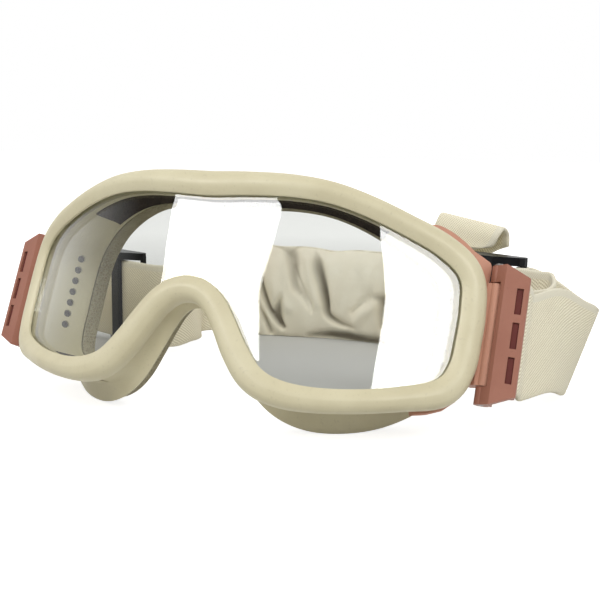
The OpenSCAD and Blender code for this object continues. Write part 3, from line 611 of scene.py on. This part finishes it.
def bottom_section(depth):
    back = depth - FLANGE_T - 2.8
    return [(STRIP_LOW, STRIP_FRONT), (STRIP_TOP, STRIP_FRONT), (STRIP_TOP, back), (STRIP_LOW, back)]


def side_section(depth):
    low, front, back = WALL_OUT + SKIN_GAP, HOLE_DEPTH - 2.8, HOLE_DEPTH + 2.8
    return [(low, front), (low + VENT_FOAM_T, front), (low + VENT_FOAM_T, back), (low, back)]


strip("vent_strip_top", "vent_foam_top", -14 / 3, 14 / 3, top_section)
strip("vent_strip_bottom_right", "vent_foam_bottom_right", 12, 16, bottom_section)
strip("vent_strip_bottom_left", "vent_foam_bottom_left", 12, 16, bottom_section, mirrored=True)
strip("vent_pad_side_right", "vent_foam_side_right", 7, 10, side_section)
strip("vent_pad_side_left", "vent_foam_side_left", 7, 10, side_section, mirrored=True)

# Rigid nodes keep their solids
for side in ("left", "right"):
    dress_node(f"outrigger_clip_{side}", CLIP_PAINTED_LIGHT, 0.3)
    dress_node(f"outrigger_{side}", BRACKET, 0.3)
    dress_node(f"hinge_pin_{side}", STEEL)
    dress_node(f"slider_{side}", BLACK, 0.5)


# The upper arm of each clip, which shows as a thin edge behind the rim and an ear beside the hinge
ARM_OUTER = [(77.9, 30.9), (82.5, 32.9), (88.5, 31.8), (93.8, 29.6),
             (98.6, 27.0), (103.2, 25.4), (106.0, 23.6), (106.0, 16.8)]
ARM_INNER = [(77.8, 30.0), (82.0, 28.7), (86.0, 27.0), (90.0, 25.0),
             (94.0, 22.6), (97.0, 19.8), (98.6, 17.8), (99.4, 15.4)]
ARM_FRONT, ARM_BACK = RIM_BACK + 0.3, RIM_BACK + 2.7
for side, sign in (("right", 1), ("left", -1)):
    rings = []
    for (s1, z1), (s0, z0) in zip(spline(ARM_OUTER, 5), spline(ARM_INNER, 5)):
        ring = rounded([(1, ARM_FRONT), (1, ARM_BACK), (0, ARM_BACK), (0, ARM_FRONT)], [0.4, 0.4, 0, 0], 2)
        # Share goes from 0 to 1 across the arm, with the outer corners' rounding kept in millimetres
        share, depth = ring[:, 0], ring[:, 1]
        width = max(math.hypot(s1 - s0, z1 - z0), 1)
        share = np.where(share > 0.5, 1 - (1 - share) / width, share)
        ring = leant(on_lens(s0 + (s1 - s0) * share, z0 + (z1 - z0) * share, depth))
        rings.append(ring * np.array([sign, 1, 1]))
    v, f = skin(rings, closed=False)
    if sign < 0:
        f = [tuple(reversed(x)) for x in f]
    dress(make(f"clip_upper_arm_{side}", v, f, "goggles"), CLIP_PAINTED_LIGHT)

# Dark sheets on the floors of the plates' blind slots: painted shade for the recesses. A plate runs from its
# ridge by the hinge to its outer edge
HINGE = on_lens(OPENING_HALF + RIM_W + 4, 0, 2.1)
RIDGE = HINGE[:2] + (3.3, -5.0)
PLATE_EDGE = HINGE[:2] + (11.3, -3.3)
SLOT_OUT, SLOT_W, SLOT_LEN, SLOT_PITCH, SLOT_DEPTH = 8.6, 2.2, 9.0, 11.8, 1.2
PLATE_MID = -1.7
plate_way = (PLATE_EDGE - RIDGE) / np.linalg.norm(PLATE_EDGE - RIDGE)
into_plate = np.array([-plate_way[1], plate_way[0]])
slot_middle = RIDGE + (PLATE_EDGE - RIDGE) * (HINGE[0] + SLOT_OUT - RIDGE[0]) / (PLATE_EDGE - RIDGE)[0]
for side, sign in (("right", 1), ("left", -1)):
    slot_verts, slot_faces = [], []
    for k in (-1, 0, 1):
        half_w, half_l = SLOT_W / 2 - 0.05, SLOT_LEN / 2 - 0.05
        outline = rounded([(-half_w, -half_l), (half_w, -half_l),
                           (half_w, half_l), (-half_w, half_l)], 0.4, 2)
        rings = []
        for deep, inset in ((SLOT_DEPTH - 0.02, 1.0), (SLOT_DEPTH - 0.2, 1.0), (SLOT_DEPTH - 0.3, 0.93)):
            at = slot_middle + np.outer(outline[:, 0] * inset, plate_way) + into_plate * deep
            rings.append(leant(np.column_stack([sign * at[:, 0], at[:, 1],
                                                PLATE_MID + k * SLOT_PITCH + outline[:, 1]])))
        v, f = skin(rings, closed=False)
        slot_faces += [tuple(i + len(slot_verts) for i in (face if sign < 0 else face[::-1])) for face in f]
        slot_verts += list(v)
    dress(make(f"plate_slot_shade_{side}", slot_verts, slot_faces, f"outrigger_{side}"), SLOT_SHADE)


# Webbing. A route is a list of points, each with the direction across the strap there
def unit(v):
    v = np.asarray(v, float)
    return v / np.linalg.norm(v)


def strap_section(width, thick):
    """Points across and through the webbing, from one rounded edge round to the other."""
    half, r = width / 2, thick / 2
    across = np.linspace(-half + r, half - r, 15)
    turn = np.linspace(0, math.pi, 5)[1:-1]
    front = [(v, -r) for v in across]
    right = [(half - r + r * math.sin(a), -r * math.cos(a)) for a in turn]
    back = [(v, r) for v in across[::-1]]
    left = [(-half + r - r * math.sin(a), r * math.cos(a)) for a in turn]
    return np.array(front + right + back + left)


def strap(name, points, ups, body, stands_for, closed=False, ends=None):
    """A strap through points, with an up direction at each. ends are its directions at both ends."""
    points, ups = np.asarray(points, float), np.asarray(ups, float)
    section = strap_section(STRAP_W, STRAP_T)
    go = (np.roll(points, -1, 0) - np.roll(points, 1, 0)) if closed else np.gradient(points, axis=0)
    if ends:
        go[0], go[-1] = ends
    gone = np.concatenate([[0], np.cumsum(np.linalg.norm(np.diff(points, axis=0), axis=1))])
    rings, uv = [], []
    for i in range(len(points)):
        up = unit(ups[i])
        face = unit(np.cross(go[i], up))
        rings.append(points[i] + section[:, :1] * up + section[:, 1:] * face)
        uv.append(np.column_stack([np.full(len(section), gone[i]), section[:, 0]]))
    verts, faces = skin(rings, closed)
    piece = make(name, verts, faces, body, stands_for, smooth=60, uv=np.concatenate(uv))
    return dress(piece, WEBBING)


def routed(route, steps):
    """A route's smooth points, their directions across the strap, and its directions at both ends."""
    pts = spline([r[0] for r in route], steps)
    ups = spline([r[1] for r in route], steps)
    first = np.subtract(route[1][0], route[0][0])
    last = np.subtract(route[-1][0], route[-2][0])
    return pts, ups, (first, last)


# The outriggers' strap bars with the legs of webbing off them, and the sliders' bars
UPRIGHT = (0, 0, 1)
LEANT = (0, math.sin(LEAN), math.cos(LEAN))
HINGE_BACK = HINGE[1] * math.cos(LEAN)
BAR = (HINGE[0] + 7.9, HINGE[1] + 1.9, -1.7)
LEG_MID = 2.6
LEG = 4.0
SLIDER_W = 28.0
SIDE_BAR_R = 1.4
SIDE_BAR_BACK = STRAP_T / 2 + 0.3 + STRAP_T + SIDE_BAR_R + 0.2
STRAIGHT = 24.0
LOOP_R = SIDE_BAR_R + 0.15 + STRAP_T


def along(place, way, x):
    """An upright step of a route, x from a place in a direction in degrees."""
    a = math.radians(way)
    return (np.add(place, (x * math.cos(a), x * math.sin(a), 0)), UPRIGHT)


def leg_end(sign, offset, y):
    return leant((sign * (BAR[0] + offset), BAR[1] + y, BAR[2]))


def legs(sign, offset):
    return [(leg_end(sign, offset, LEG), LEANT), (leg_end(sign, offset, LEG + 6), LEANT)]


def wrap(side, sign):
    """Webbing round an outrigger's bar, from the inner leg to the outer one."""
    leg = (LEG, LEG * 0.66, LEG * 0.33)
    flat = [(-LEG_MID, y) for y in leg]
    flat += [(LEG_MID * math.cos(a), LEG_MID * math.sin(a)) for a in np.linspace(math.pi, 2 * math.pi, 17)]
    flat += [(LEG_MID, y) for y in leg[::-1]]
    pts = [leg_end(sign, x, y) for x, y in flat]
    back = leant((0, 1, 0)) - leant((0, 0, 0))
    strap(f"webbing_wrap_{side}", pts, [LEANT] * len(pts), f"outrigger_{side}", [f"strap_wrap_{side}"],
          ends=(-back, back))


def sewn_at(place, way, flipped):
    """The middle of the slider's bar that the strap end is sewn round."""
    a = math.radians(way)
    x, y = SIDE_BAR_R - SLIDER_W / 2, (-1 if flipped else 1) * SIDE_BAR_BACK
    return np.add(place, (x * math.cos(a) - y * math.sin(a), x * math.sin(a) + y * math.cos(a), 0))


def loop(side, centre):
    r = SIDE_BAR_R + 0.15 + STRAP_T / 2
    turn = np.linspace(0, 2 * math.pi, 28, endpoint=False)
    pts = [centre + (r * math.cos(a), r * math.sin(a), 0) for a in turn]
    strap(f"webbing_loop_{side}", pts, [UPRIGHT] * len(pts), f"slider_{side}", [f"strap_loop_{side}"],
          closed=True)


def from_right(x, y, z):
    return np.array((HINGE[0] + x, HINGE_BACK + y, z))


def from_left(x, y, z):
    return np.array((-HINGE[0] - x, HINGE_BACK + y, z))


right_slider, right_way = from_right(-14.5, 60, 32), 153
left_slider, left_way = from_left(0.5, 59, 23), -21
right_fold, right_fold_way, right_fold_up = from_right(22, 60, 20), unit((0, 4, -0.9)), (0.30, -0.22, 0.92)
left_fold, left_fold_way = from_left(31.5, 70, 22), unit((-0.2, 4, 0))
right_sewn = sewn_at(right_slider, right_way, True)
left_sewn = sewn_at(left_slider, left_way, False)
FOLD_LEAD = 4

right_outer = legs(1, LEG_MID) + [
    (from_right(16.5, 29, 29), (0, 0.25, 0.95)), (from_right(20.5, 47, 23), (0.15, 0, 0.98)),
    (right_fold - FOLD_LEAD * right_fold_way, (0.27, -0.16, 0.94)), (right_fold, right_fold_up)]
right_inner = legs(1, -LEG_MID) + [
    (from_right(8.5, 23, 28.3), (0, 0.25, 0.95)), (from_right(12.1, 34, 27.8), (0, 0.1, 1)),
    (from_right(13.3, 41.8, 29.5), UPRIGHT),
    along(right_slider, right_way, -STRAIGHT - 5), along(right_slider, right_way, -STRAIGHT)]
left_outer = legs(-1, LEG_MID) + [
    (from_left(16.5, 27, 30), (0, 0.2, 0.98)), (from_left(24.5, 47, 25), UPRIGHT),
    (from_left(30.5, 61, 22), UPRIGHT),
    (left_fold - FOLD_LEAD * left_fold_way, UPRIGHT), (left_fold, UPRIGHT)]
left_inner = legs(-1, -LEG_MID) + [
    (from_left(9.5, 25, 30), (0, 0.2, 0.98)), (from_left(17.5, 43, 25), UPRIGHT),
    (from_left(23.9, 55, 23), UPRIGHT), (from_left(26.8, 62, 23), UPRIGHT),
    (from_left(27.3, 66.4, 23), UPRIGHT),
    along(left_slider, left_way, -STRAIGHT - 3.4), along(left_slider, left_way, -STRAIGHT)]
right_end = [
    (right_fold, right_fold_up),
    (right_fold + right_fold_way, right_fold_up), (right_fold + (-1.2, 2.8, 0), right_fold_up),
    (right_fold + (-3.4, 3.2, 1), right_fold_up), (right_fold + (-8, 2.4, 3.8), (0.24, -0.16, 0.94)),
    (right_sewn + (LOOP_R + 6) * np.array((0.95, 0.31, 0)) - (0, 0, 3.2), (0.1, 0, 1)),
    (right_sewn + (LOOP_R + 2.4) * np.array((0.95, 0.31, 0)) - (0, 0, 0.8), UPRIGHT),
    (right_sewn + (LOOP_R - 0.5) * np.array((0.95, 0.31, 0)), UPRIGHT)]
left_end = [
    (left_fold, UPRIGHT), (left_fold + left_fold_way, UPRIGHT), (left_fold + (1.2, 2.8, 0), UPRIGHT),
    (left_fold + (3.4, 3.2, 0), UPRIGHT), (left_fold + (8, 2.8, 0), UPRIGHT),
    (left_sewn + (LOOP_R + 4) * np.array((-0.85, 0.53, 0)), UPRIGHT),
    (left_sewn + (LOOP_R - 0.5) * np.array((-0.85, 0.53, 0)), UPRIGHT)]
right_run = [along(right_slider, right_way, x) for x in range(-24, 25, 6)]
left_run = [along(left_slider, left_way, x) for x in range(-24, 25, 6)]
back_route = right_run + [
    (from_right(-43, 75, 33), (0.2, 0, 0.98)), (from_right(-47, 78.5, 38.5), (0.5, -0.12, 0.86)),
    (from_right(-41, 84, 48.5), (0.8, -0.46, 0.38)), (from_right(-33.5, 81.5, 56), (0.85, -0.52, 0.05)),
    (from_right(-30.5, 81.4, 62.8), (0.85, -0.52, -0.06)), (from_right(-29, 84, 66), (0.85, -0.52, -0.1)),
    (from_right(-27.9, 87.3, 63), (0.85, -0.52, -0.06)), (from_right(-28.2, 88.7, 56), (0.85, -0.5, 0.05)),
    (from_right(-30.5, 91, 47.5), (0.8, -0.35, 0.42)), (from_right(-35.5, 96.5, 39), (0.55, -0.05, 0.8)),
    (from_right(-41.5, 103.5, 31), (0.25, 0.1, 0.96)), (from_right(-49.5, 111, 26), (0.05, 0, 1)),
    (from_right(-59.5, 119, 23), UPRIGHT), ((15, HINGE_BACK + 124, 22.5), UPRIGHT),
    ((-14, HINGE_BACK + 123.5, 22.5), UPRIGHT), (from_left(-52.5, 117.5, 22.5), UPRIGHT),
    (from_left(-33.5, 110, 21.5), UPRIGHT), (from_left(-24.5, 97, 20.5), (0.2, -0.1, 0.95)),
    (from_left(-27.5, 81, 21.5), (-0.15, 0, 0.98)), (from_left(-33.5, 67, 23), UPRIGHT),
    (from_left(-33.5, 55, 23), UPRIGHT), (from_left(-28.5, 50, 23), UPRIGHT)] + left_run[::-1]

wrap("right", 1)
wrap("left", -1)
loop("right", right_sewn)
loop("left", left_sewn)


def side_layers(side, outer, inner):
    """Two layers of webbing, each from an outrigger's bar along its own route."""
    for layer, route in (("outer", outer), ("inner", inner)):
        pts, ups, ends = routed(route, 10)
        piece = strap(f"webbing_{side}_{layer}", pts, ups, None, [f"strap_side_{side}"], ends=ends)
        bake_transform(piece)


side_layers("right", right_outer, right_inner)
side_layers("left", left_outer, left_inner)
for side, route in (("right", right_end), ("left", left_end)):
    pts, ups, ends = routed(route, 10)
    piece = strap(f"webbing_end_{side}", pts, ups, None, [f"strap_end_{side}"], ends=ends)
    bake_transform(piece)
pts, ups, ends = routed(back_route, 8)
strap("webbing_back", pts, ups, "goggles", ["strap_back"], ends=ends)

# Lens cover: a gathered sleeve round the strap, with its middle at a point of the back route
COVER_AT = 23
COVER_LEN = 90.0
COVER_T = 17.0
COVER_RINGS = 200
COVER_SIDES = 132
COVER_HANG = 2.6
CENTRE_STEPS = 40
centre_pts = spline([r[0] for r in back_route], CENTRE_STEPS)
cover_step = np.linalg.norm(np.subtract(back_route[COVER_AT][0], back_route[COVER_AT + 1][0]))
# Folds and ridges of the cover's front. Each is a line of points, as share along, height, half width, depth
FOLDS = [
    [(0.745, 24, 3.4, 2.6), (0.700, 17, 3.2, 3.6), (0.683, 5, 2.2, 3.0), (0.639, -0.2, 1.3, 2.0),
     (0.605, -6, 0.8, 0.8)],
    [(0.690, 14, 0.8, 0.6), (0.639, 4.4, 0.9, 1.4), (0.588, -4.6, 0.9, 1.4), (0.588, -8.5, 0.7, 0.6)],
    [(0.575, 21, 1.6, 1.2), (0.556, 14, 3.0, 4.4), (0.525, 6, 2.7, 5.6), (0.500, -3, 2.1, 5.6),
     (0.487, -9, 1.9, 4.6), (0.417, -13, 1.6, 3.0), (0.340, -14.5, 1.0, 1.4)],
    [(0.766, -1, 1.4, 1.6), (0.785, -9, 2.2, 4.6), (0.769, -15, 1.5, 4.0)],
    [(0.873, 22, 1.4, 3.0), (0.911, 9, 1.6, 4.0), (0.842, -7.4, 1.6, 4.6), (0.753, -17, 1.4, 4.2)],
    [(0.930, -6, 1.2, 1.6), (0.870, -14, 1.6, 3.4), (0.840, -20, 1.6, 3.0)],
    [(0.215, 1.5, 0.9, 1.2), (0.150, -1, 2.6, 4.4), (0.135, -7, 3.6, 5.0), (0.145, -13, 2.4, 3.6)],
    [(0.345, -7, 1.0, 1.2), (0.290, -2.4, 1.1, 1.5), (0.220, 2.2, 1.0, 1.0)],
    [(0.600, -21, 1.6, 2.4), (0.450, -20.2, 2.4, 6.4), (0.250, -21.5, 2.4, 6.6), (0.100, -22, 2.0, 4.6)]]
RIDGES = [
    [(0.325, -12, 2.4, 1.2), (0.270, -7, 2.8, 1.9), (0.205, -3, 2.0, 0.9)],
    [(0.820, 14, 3.6, 1.0), (0.800, 2, 3.2, 1.4), (0.720, -7, 3.0, 1.2)],
    [(0.625, 18, 1.6, 1.0), (0.590, 6, 1.8, 1.3), (0.555, -4, 2.0, 1.0)],
    [(0.470, 15, 4.0, 0.8), (0.430, 2, 5.0, 1.2), (0.410, -7, 3.6, 0.8)],
    [(0.300, 17, 3.6, 0.5), (0.250, 8, 4.0, 0.7)]]


def fold_height(x, h, lines):
    """How deep a set of folds is at each point, from the nearest place on each line."""
    total = np.zeros_like(x)
    for line in lines:
        pts = spline(line, 6)
        deepest = np.zeros_like(x)
        for p, q in zip(pts, pts[1:]):
            ax, ah, bx, bh = p[0] * COVER_LEN, p[1], q[0] * COVER_LEN, q[1]
            dx, dh = bx - ax, bh - ah
            t = np.clip(((x - ax) * dx + (h - ah) * dh) / (dx * dx + dh * dh), 0, 1)
            gap = np.hypot(x - ax - t * dx, h - ah - t * dh)
            width, depth = p[2] + (q[2] - p[2]) * t, p[3] + (q[3] - p[3]) * t
            deepest = np.maximum(deepest, depth * np.exp(-(gap / width) ** 2))
        total = total + deepest
    return total


def relief(x, h):
    return fold_height(x, h, FOLDS) - fold_height(x, h, RIDGES)


def squarish(wave, power):
    """A sine or cosine made fuller by a power under 1, so that a round turns into a rounded box."""
    return np.sign(wave) * np.abs(wave) ** power


a = 2 * math.pi * (np.arange(COVER_SIDES) + 0.5) / COVER_SIDES
front = np.clip(-np.cos(a) * 2.2, 0, 1)
rear = np.clip(np.cos(a) * 2.2, 0, 1)
bore_up = squarish(np.sin(a), 0.2) * (STRAP_W / 2 + 0.4)
bore_out = squarish(np.cos(a), 0.2) * (STRAP_T / 2 + 0.5)
cover_rings, bore_rings, cover_uv = [], [], []
for i in range(COVER_RINGS):
    v = i / (COVER_RINGS - 1)
    t = (COVER_AT + (v - 0.5) * COVER_LEN / cover_step) * CENTRE_STEPS
    k = int(t)
    here = centre_pts[k] + (centre_pts[k + 1] - centre_pts[k]) * (t - k)
    face = unit(np.cross(centre_pts[k + 2] - centre_pts[k - 1], UPRIGHT))
    swell = 0.35 + 0.65 * math.sin(math.pi * (0.06 + 0.88 * v)) ** 0.6
    high = STRAP_W / 2 + COVER_HANG + 1.9 * swell + 0.7 * math.sin(9.1 * v + 0.6) + 0.4 * math.sin(23 * v)
    up_part = squarish(np.sin(a), 0.8) * high
    out_part = np.cos(a) * COVER_T / 2 * swell
    x = np.full_like(a, v * COVER_LEN)
    pressed = relief(x, up_part)
    back = 0.6 * relief(COVER_LEN - x, -up_part)
    out_part = np.where(out_part < 0, np.minimum(out_part + pressed * front, -2.0),
                        np.maximum(out_part - back * rear, 0))
    out_part += 0.25 * np.sin(40 * v + 3 * a) + 0.18 * np.sin(71 * v - 5 * a + 1)
    ring = here + np.outer(out_part, face)
    ring[:, 2] = np.maximum(0.2, here[2] + up_part)
    cover_rings.append(ring)
    # How deep the fold is here, carried in U for the cover's painted fold shade
    shade = np.maximum(pressed * front, back * rear) / 6
    cover_uv.append(np.column_stack([np.clip(shade, 0, 1), np.full_like(a, v)]))
    bore = here + np.outer(bore_out, face)
    bore[:, 2] = here[2] + bore_up
    bore_rings.append(bore)
verts, faces = skin(cover_rings + bore_rings[::-1], closed=True)
cover = dress(make("cover_sleeve", verts, faces, "goggles", ["lens_cover"], smooth=80,
                   uv=np.concatenate(cover_uv + [np.zeros((COVER_RINGS * COVER_SIDES, 2))])), COVER)


# Floor, light and background
def seen_rays(tree):
    """The light path's outputs, and 1 on camera, glossy and transmission rays."""
    rays = node(tree, "ShaderNodeLightPath").outputs
    seen = maths(tree, "MAXIMUM", rays["Is Camera Ray"],
                 maths(tree, "MAXIMUM", rays["Is Glossy Ray"], rays["Is Transmission Ray"]))
    return rays, seen


# How bright the floor is seen to be: straight, and through the lens, near the goggles and far off
FLOOR_DIRECT, FLOOR_NEAR, FLOOR_FAR_RISE = 0.80, 0.07, 0.44
NEAR, FAR = 0.22, 0.7
floor_mesh = bpy.data.meshes.new("floor")
floor_mesh.from_pydata([(-6, -6, 0), (6, -6, 0), (6, 6, 0), (-6, 6, 0)], [], [(0, 1, 2, 3)])
floor = bpy.data.objects.new("floor", floor_mesh)
scene.collection.objects.link(floor)
floor_mat, tree, shader = new_material("floor", 0.9, 0.1)
rays, seen = seen_rays(tree)
shader.inputs["Base Color"].default_value = (0.60, 0.60, 0.59, 1)
shader.inputs["Emission Color"].default_value = (1, 1, 1, 1)
direct = maths(tree, "LESS_THAN", rays["Transparent Depth"], 0.5)
from_middle = node(tree, "ShaderNodeVectorMath", {"operation": "LENGTH"}, Vector=coordinates(tree))
far = ramp(tree, from_middle.outputs["Value"], NEAR, FAR)
through_lens = maths(tree, "MULTIPLY_ADD", far, FLOOR_FAR_RISE, FLOOR_NEAR)
above_lens = maths(tree, "SUBTRACT", FLOOR_DIRECT, through_lens)
level = maths(tree, "MULTIPLY_ADD", direct, above_lens, through_lens)
tree.links.new(maths(tree, "MULTIPLY", seen, level), shader.inputs["Emission Strength"])
dress(floor, floor_mat)

world = bpy.data.worlds.new("studio")
scene.world = world
world.use_nodes = True
tree = world.node_tree
background = tree.nodes["Background"]
background.inputs["Color"].default_value = (1, 1, 1, 1)
rays, seen = seen_rays(tree)
AMBIENT = 0.55
tree.links.new(maths(tree, "MULTIPLY_ADD", seen, 1 - AMBIENT, AMBIENT), background.inputs["Strength"])


def area(name, place, target, size, power):
    """A round lamp, size in metres and power in watts."""
    data = bpy.data.lights.new(name, "AREA")
    data.shape = "DISK"
    data.size = size
    data.energy = power
    light = bpy.data.objects.new(name, data)
    scene.collection.objects.link(light)
    turn = (Vector(target) - Vector(place)).to_track_quat("-Z", "Y").to_matrix().to_4x4()
    light.matrix_world = Matrix.Translation(place) @ turn
    light.visible_glossy = False


area("key", (0.7, -0.9, 1.3), (0, 0.03, 0.03), 0.9, 13.5)
area("fill", (-1.2, -0.5, 0.9), (0, 0.03, 0.03), 1.2, 5)
area("back", (0.1, 1.3, 1.1), (0, 0.08, 0.03), 1.0, 4.8)

# Cards that only glossy rays see, placed where the lens mirrors them to the camera as in the photograph
LENS_AXIS = np.array([0, LENS_R, 0]) / 1000
CARD_COLUMNS = 9


def upright_way(v):
    """A direction in the scene, as seen from the upright goggles."""
    c, s = math.cos(LEAN), math.sin(LEAN)
    return np.array([v[0], v[1] * c - v[2] * s, v[1] * s + v[2] * c])


def mirrored_by_lens(px, py, away):
    """Where a ray through a point of the picture goes after the lens's front, away metres on."""
    zoom = camera_data.lens / camera_data.sensor_width * PHOTO_SIZE
    middle = PHOTO_SIZE / 2
    ray = camera_look + camera_right * (px - middle) / zoom - camera_up * (py - middle) / zoom
    start = upright_way(np.array(camera_place) - (0, 0, REST_H / 1000)) - LENS_AXIS
    ray = upright_way(np.array(ray))
    ray /= np.linalg.norm(ray)
    a = ray[0] ** 2 + ray[1] ** 2
    b = start[0] * ray[0] + start[1] * ray[1]
    c = start[0] ** 2 + start[1] ** 2 - (LENS_R / 1000) ** 2
    hit = start + ray * (-b - math.sqrt(max(b * b - a * c, 0))) / a
    normal = np.array([hit[0], hit[1], 0]) / (LENS_R / 1000)
    return leant((hit + LENS_AXIS + (ray - 2 * ray.dot(normal) * normal) * away) * 1000)


def card(name, edges, strength, away=1.5, fade=0.0):
    """A card through rows of height, left edge and right edge in the picture. fade is how bright its
    left end is, where that differs."""
    last_column, last_row = CARD_COLUMNS - 1, len(edges) - 1
    points = [mirrored_by_lens(x, y, away) for y, first, last in edges
              for x in np.linspace(first, last, CARD_COLUMNS)]
    corners = [i * CARD_COLUMNS + j for i in range(last_row) for j in range(last_column)]
    faces = [(k, k + 1, k + CARD_COLUMNS + 1, k + CARD_COLUMNS) for k in corners]
    mesh = bpy.data.meshes.new(name)
    mesh.from_pydata([tuple(p / 1000) for p in points], [], faces)
    piece = bpy.data.objects.new(name, mesh)
    scene.collection.objects.link(piece)
    mat, tree, surface = bare_material(name)
    glow = node(tree, "ShaderNodeEmission", Color=(1, 1, 1, 1), Strength=strength)
    if fade:
        layer = mesh.uv_layers.new(name="UVMap")
        for one in mesh.loops:
            row, column = divmod(one.vertex_index, CARD_COLUMNS)
            layer.data[one.index].uv = (column / last_column, row / last_row)
        place = node(tree, "ShaderNodeSeparateXYZ", Vector=coordinates(tree, "UV"))
        level = node(tree, "ShaderNodeMapRange", i0=place.outputs[0], i1=0.0, i2=0.24, i3=fade, i4=strength)
        lower = maths(tree, "SUBTRACT", 1.0, maths(tree, "MULTIPLY", place.outputs[1], 0.75))
        tree.links.new(maths(tree, "MULTIPLY", level.outputs[0], lower), glow.inputs["Strength"])
    tree.links.new(glow.outputs[0], surface)
    dress(piece, mat)
    piece.visible_camera = piece.visible_diffuse = piece.visible_transmission = False
    piece.visible_shadow = piece.visible_volume_scatter = False


DARK_EDGES = [(150, 30, 480), (250, 30, 480), (330, 30, 480), (430, 30, 480)]
LEFT_EDGES = [(180, 180, 270), (208, 172, 281), (247, 166, 271), (276, 162, 262), (292, 159, 258),
              (360, 150, 258)]
RIGHT_EDGES = [(215, 379, 470), (237, 381, 470), (263, 384, 470), (295, 386, 470), (323, 383, 470),
               (339, 380, 470), (368, 375, 470), (400, 370, 470)]
card("dark_board", DARK_EDGES, 0.06, away=1.9, fade=2.6)
card("card_left", LEFT_EDGES, 14.0)
card("card_right", RIGHT_EDGES, 13.0)
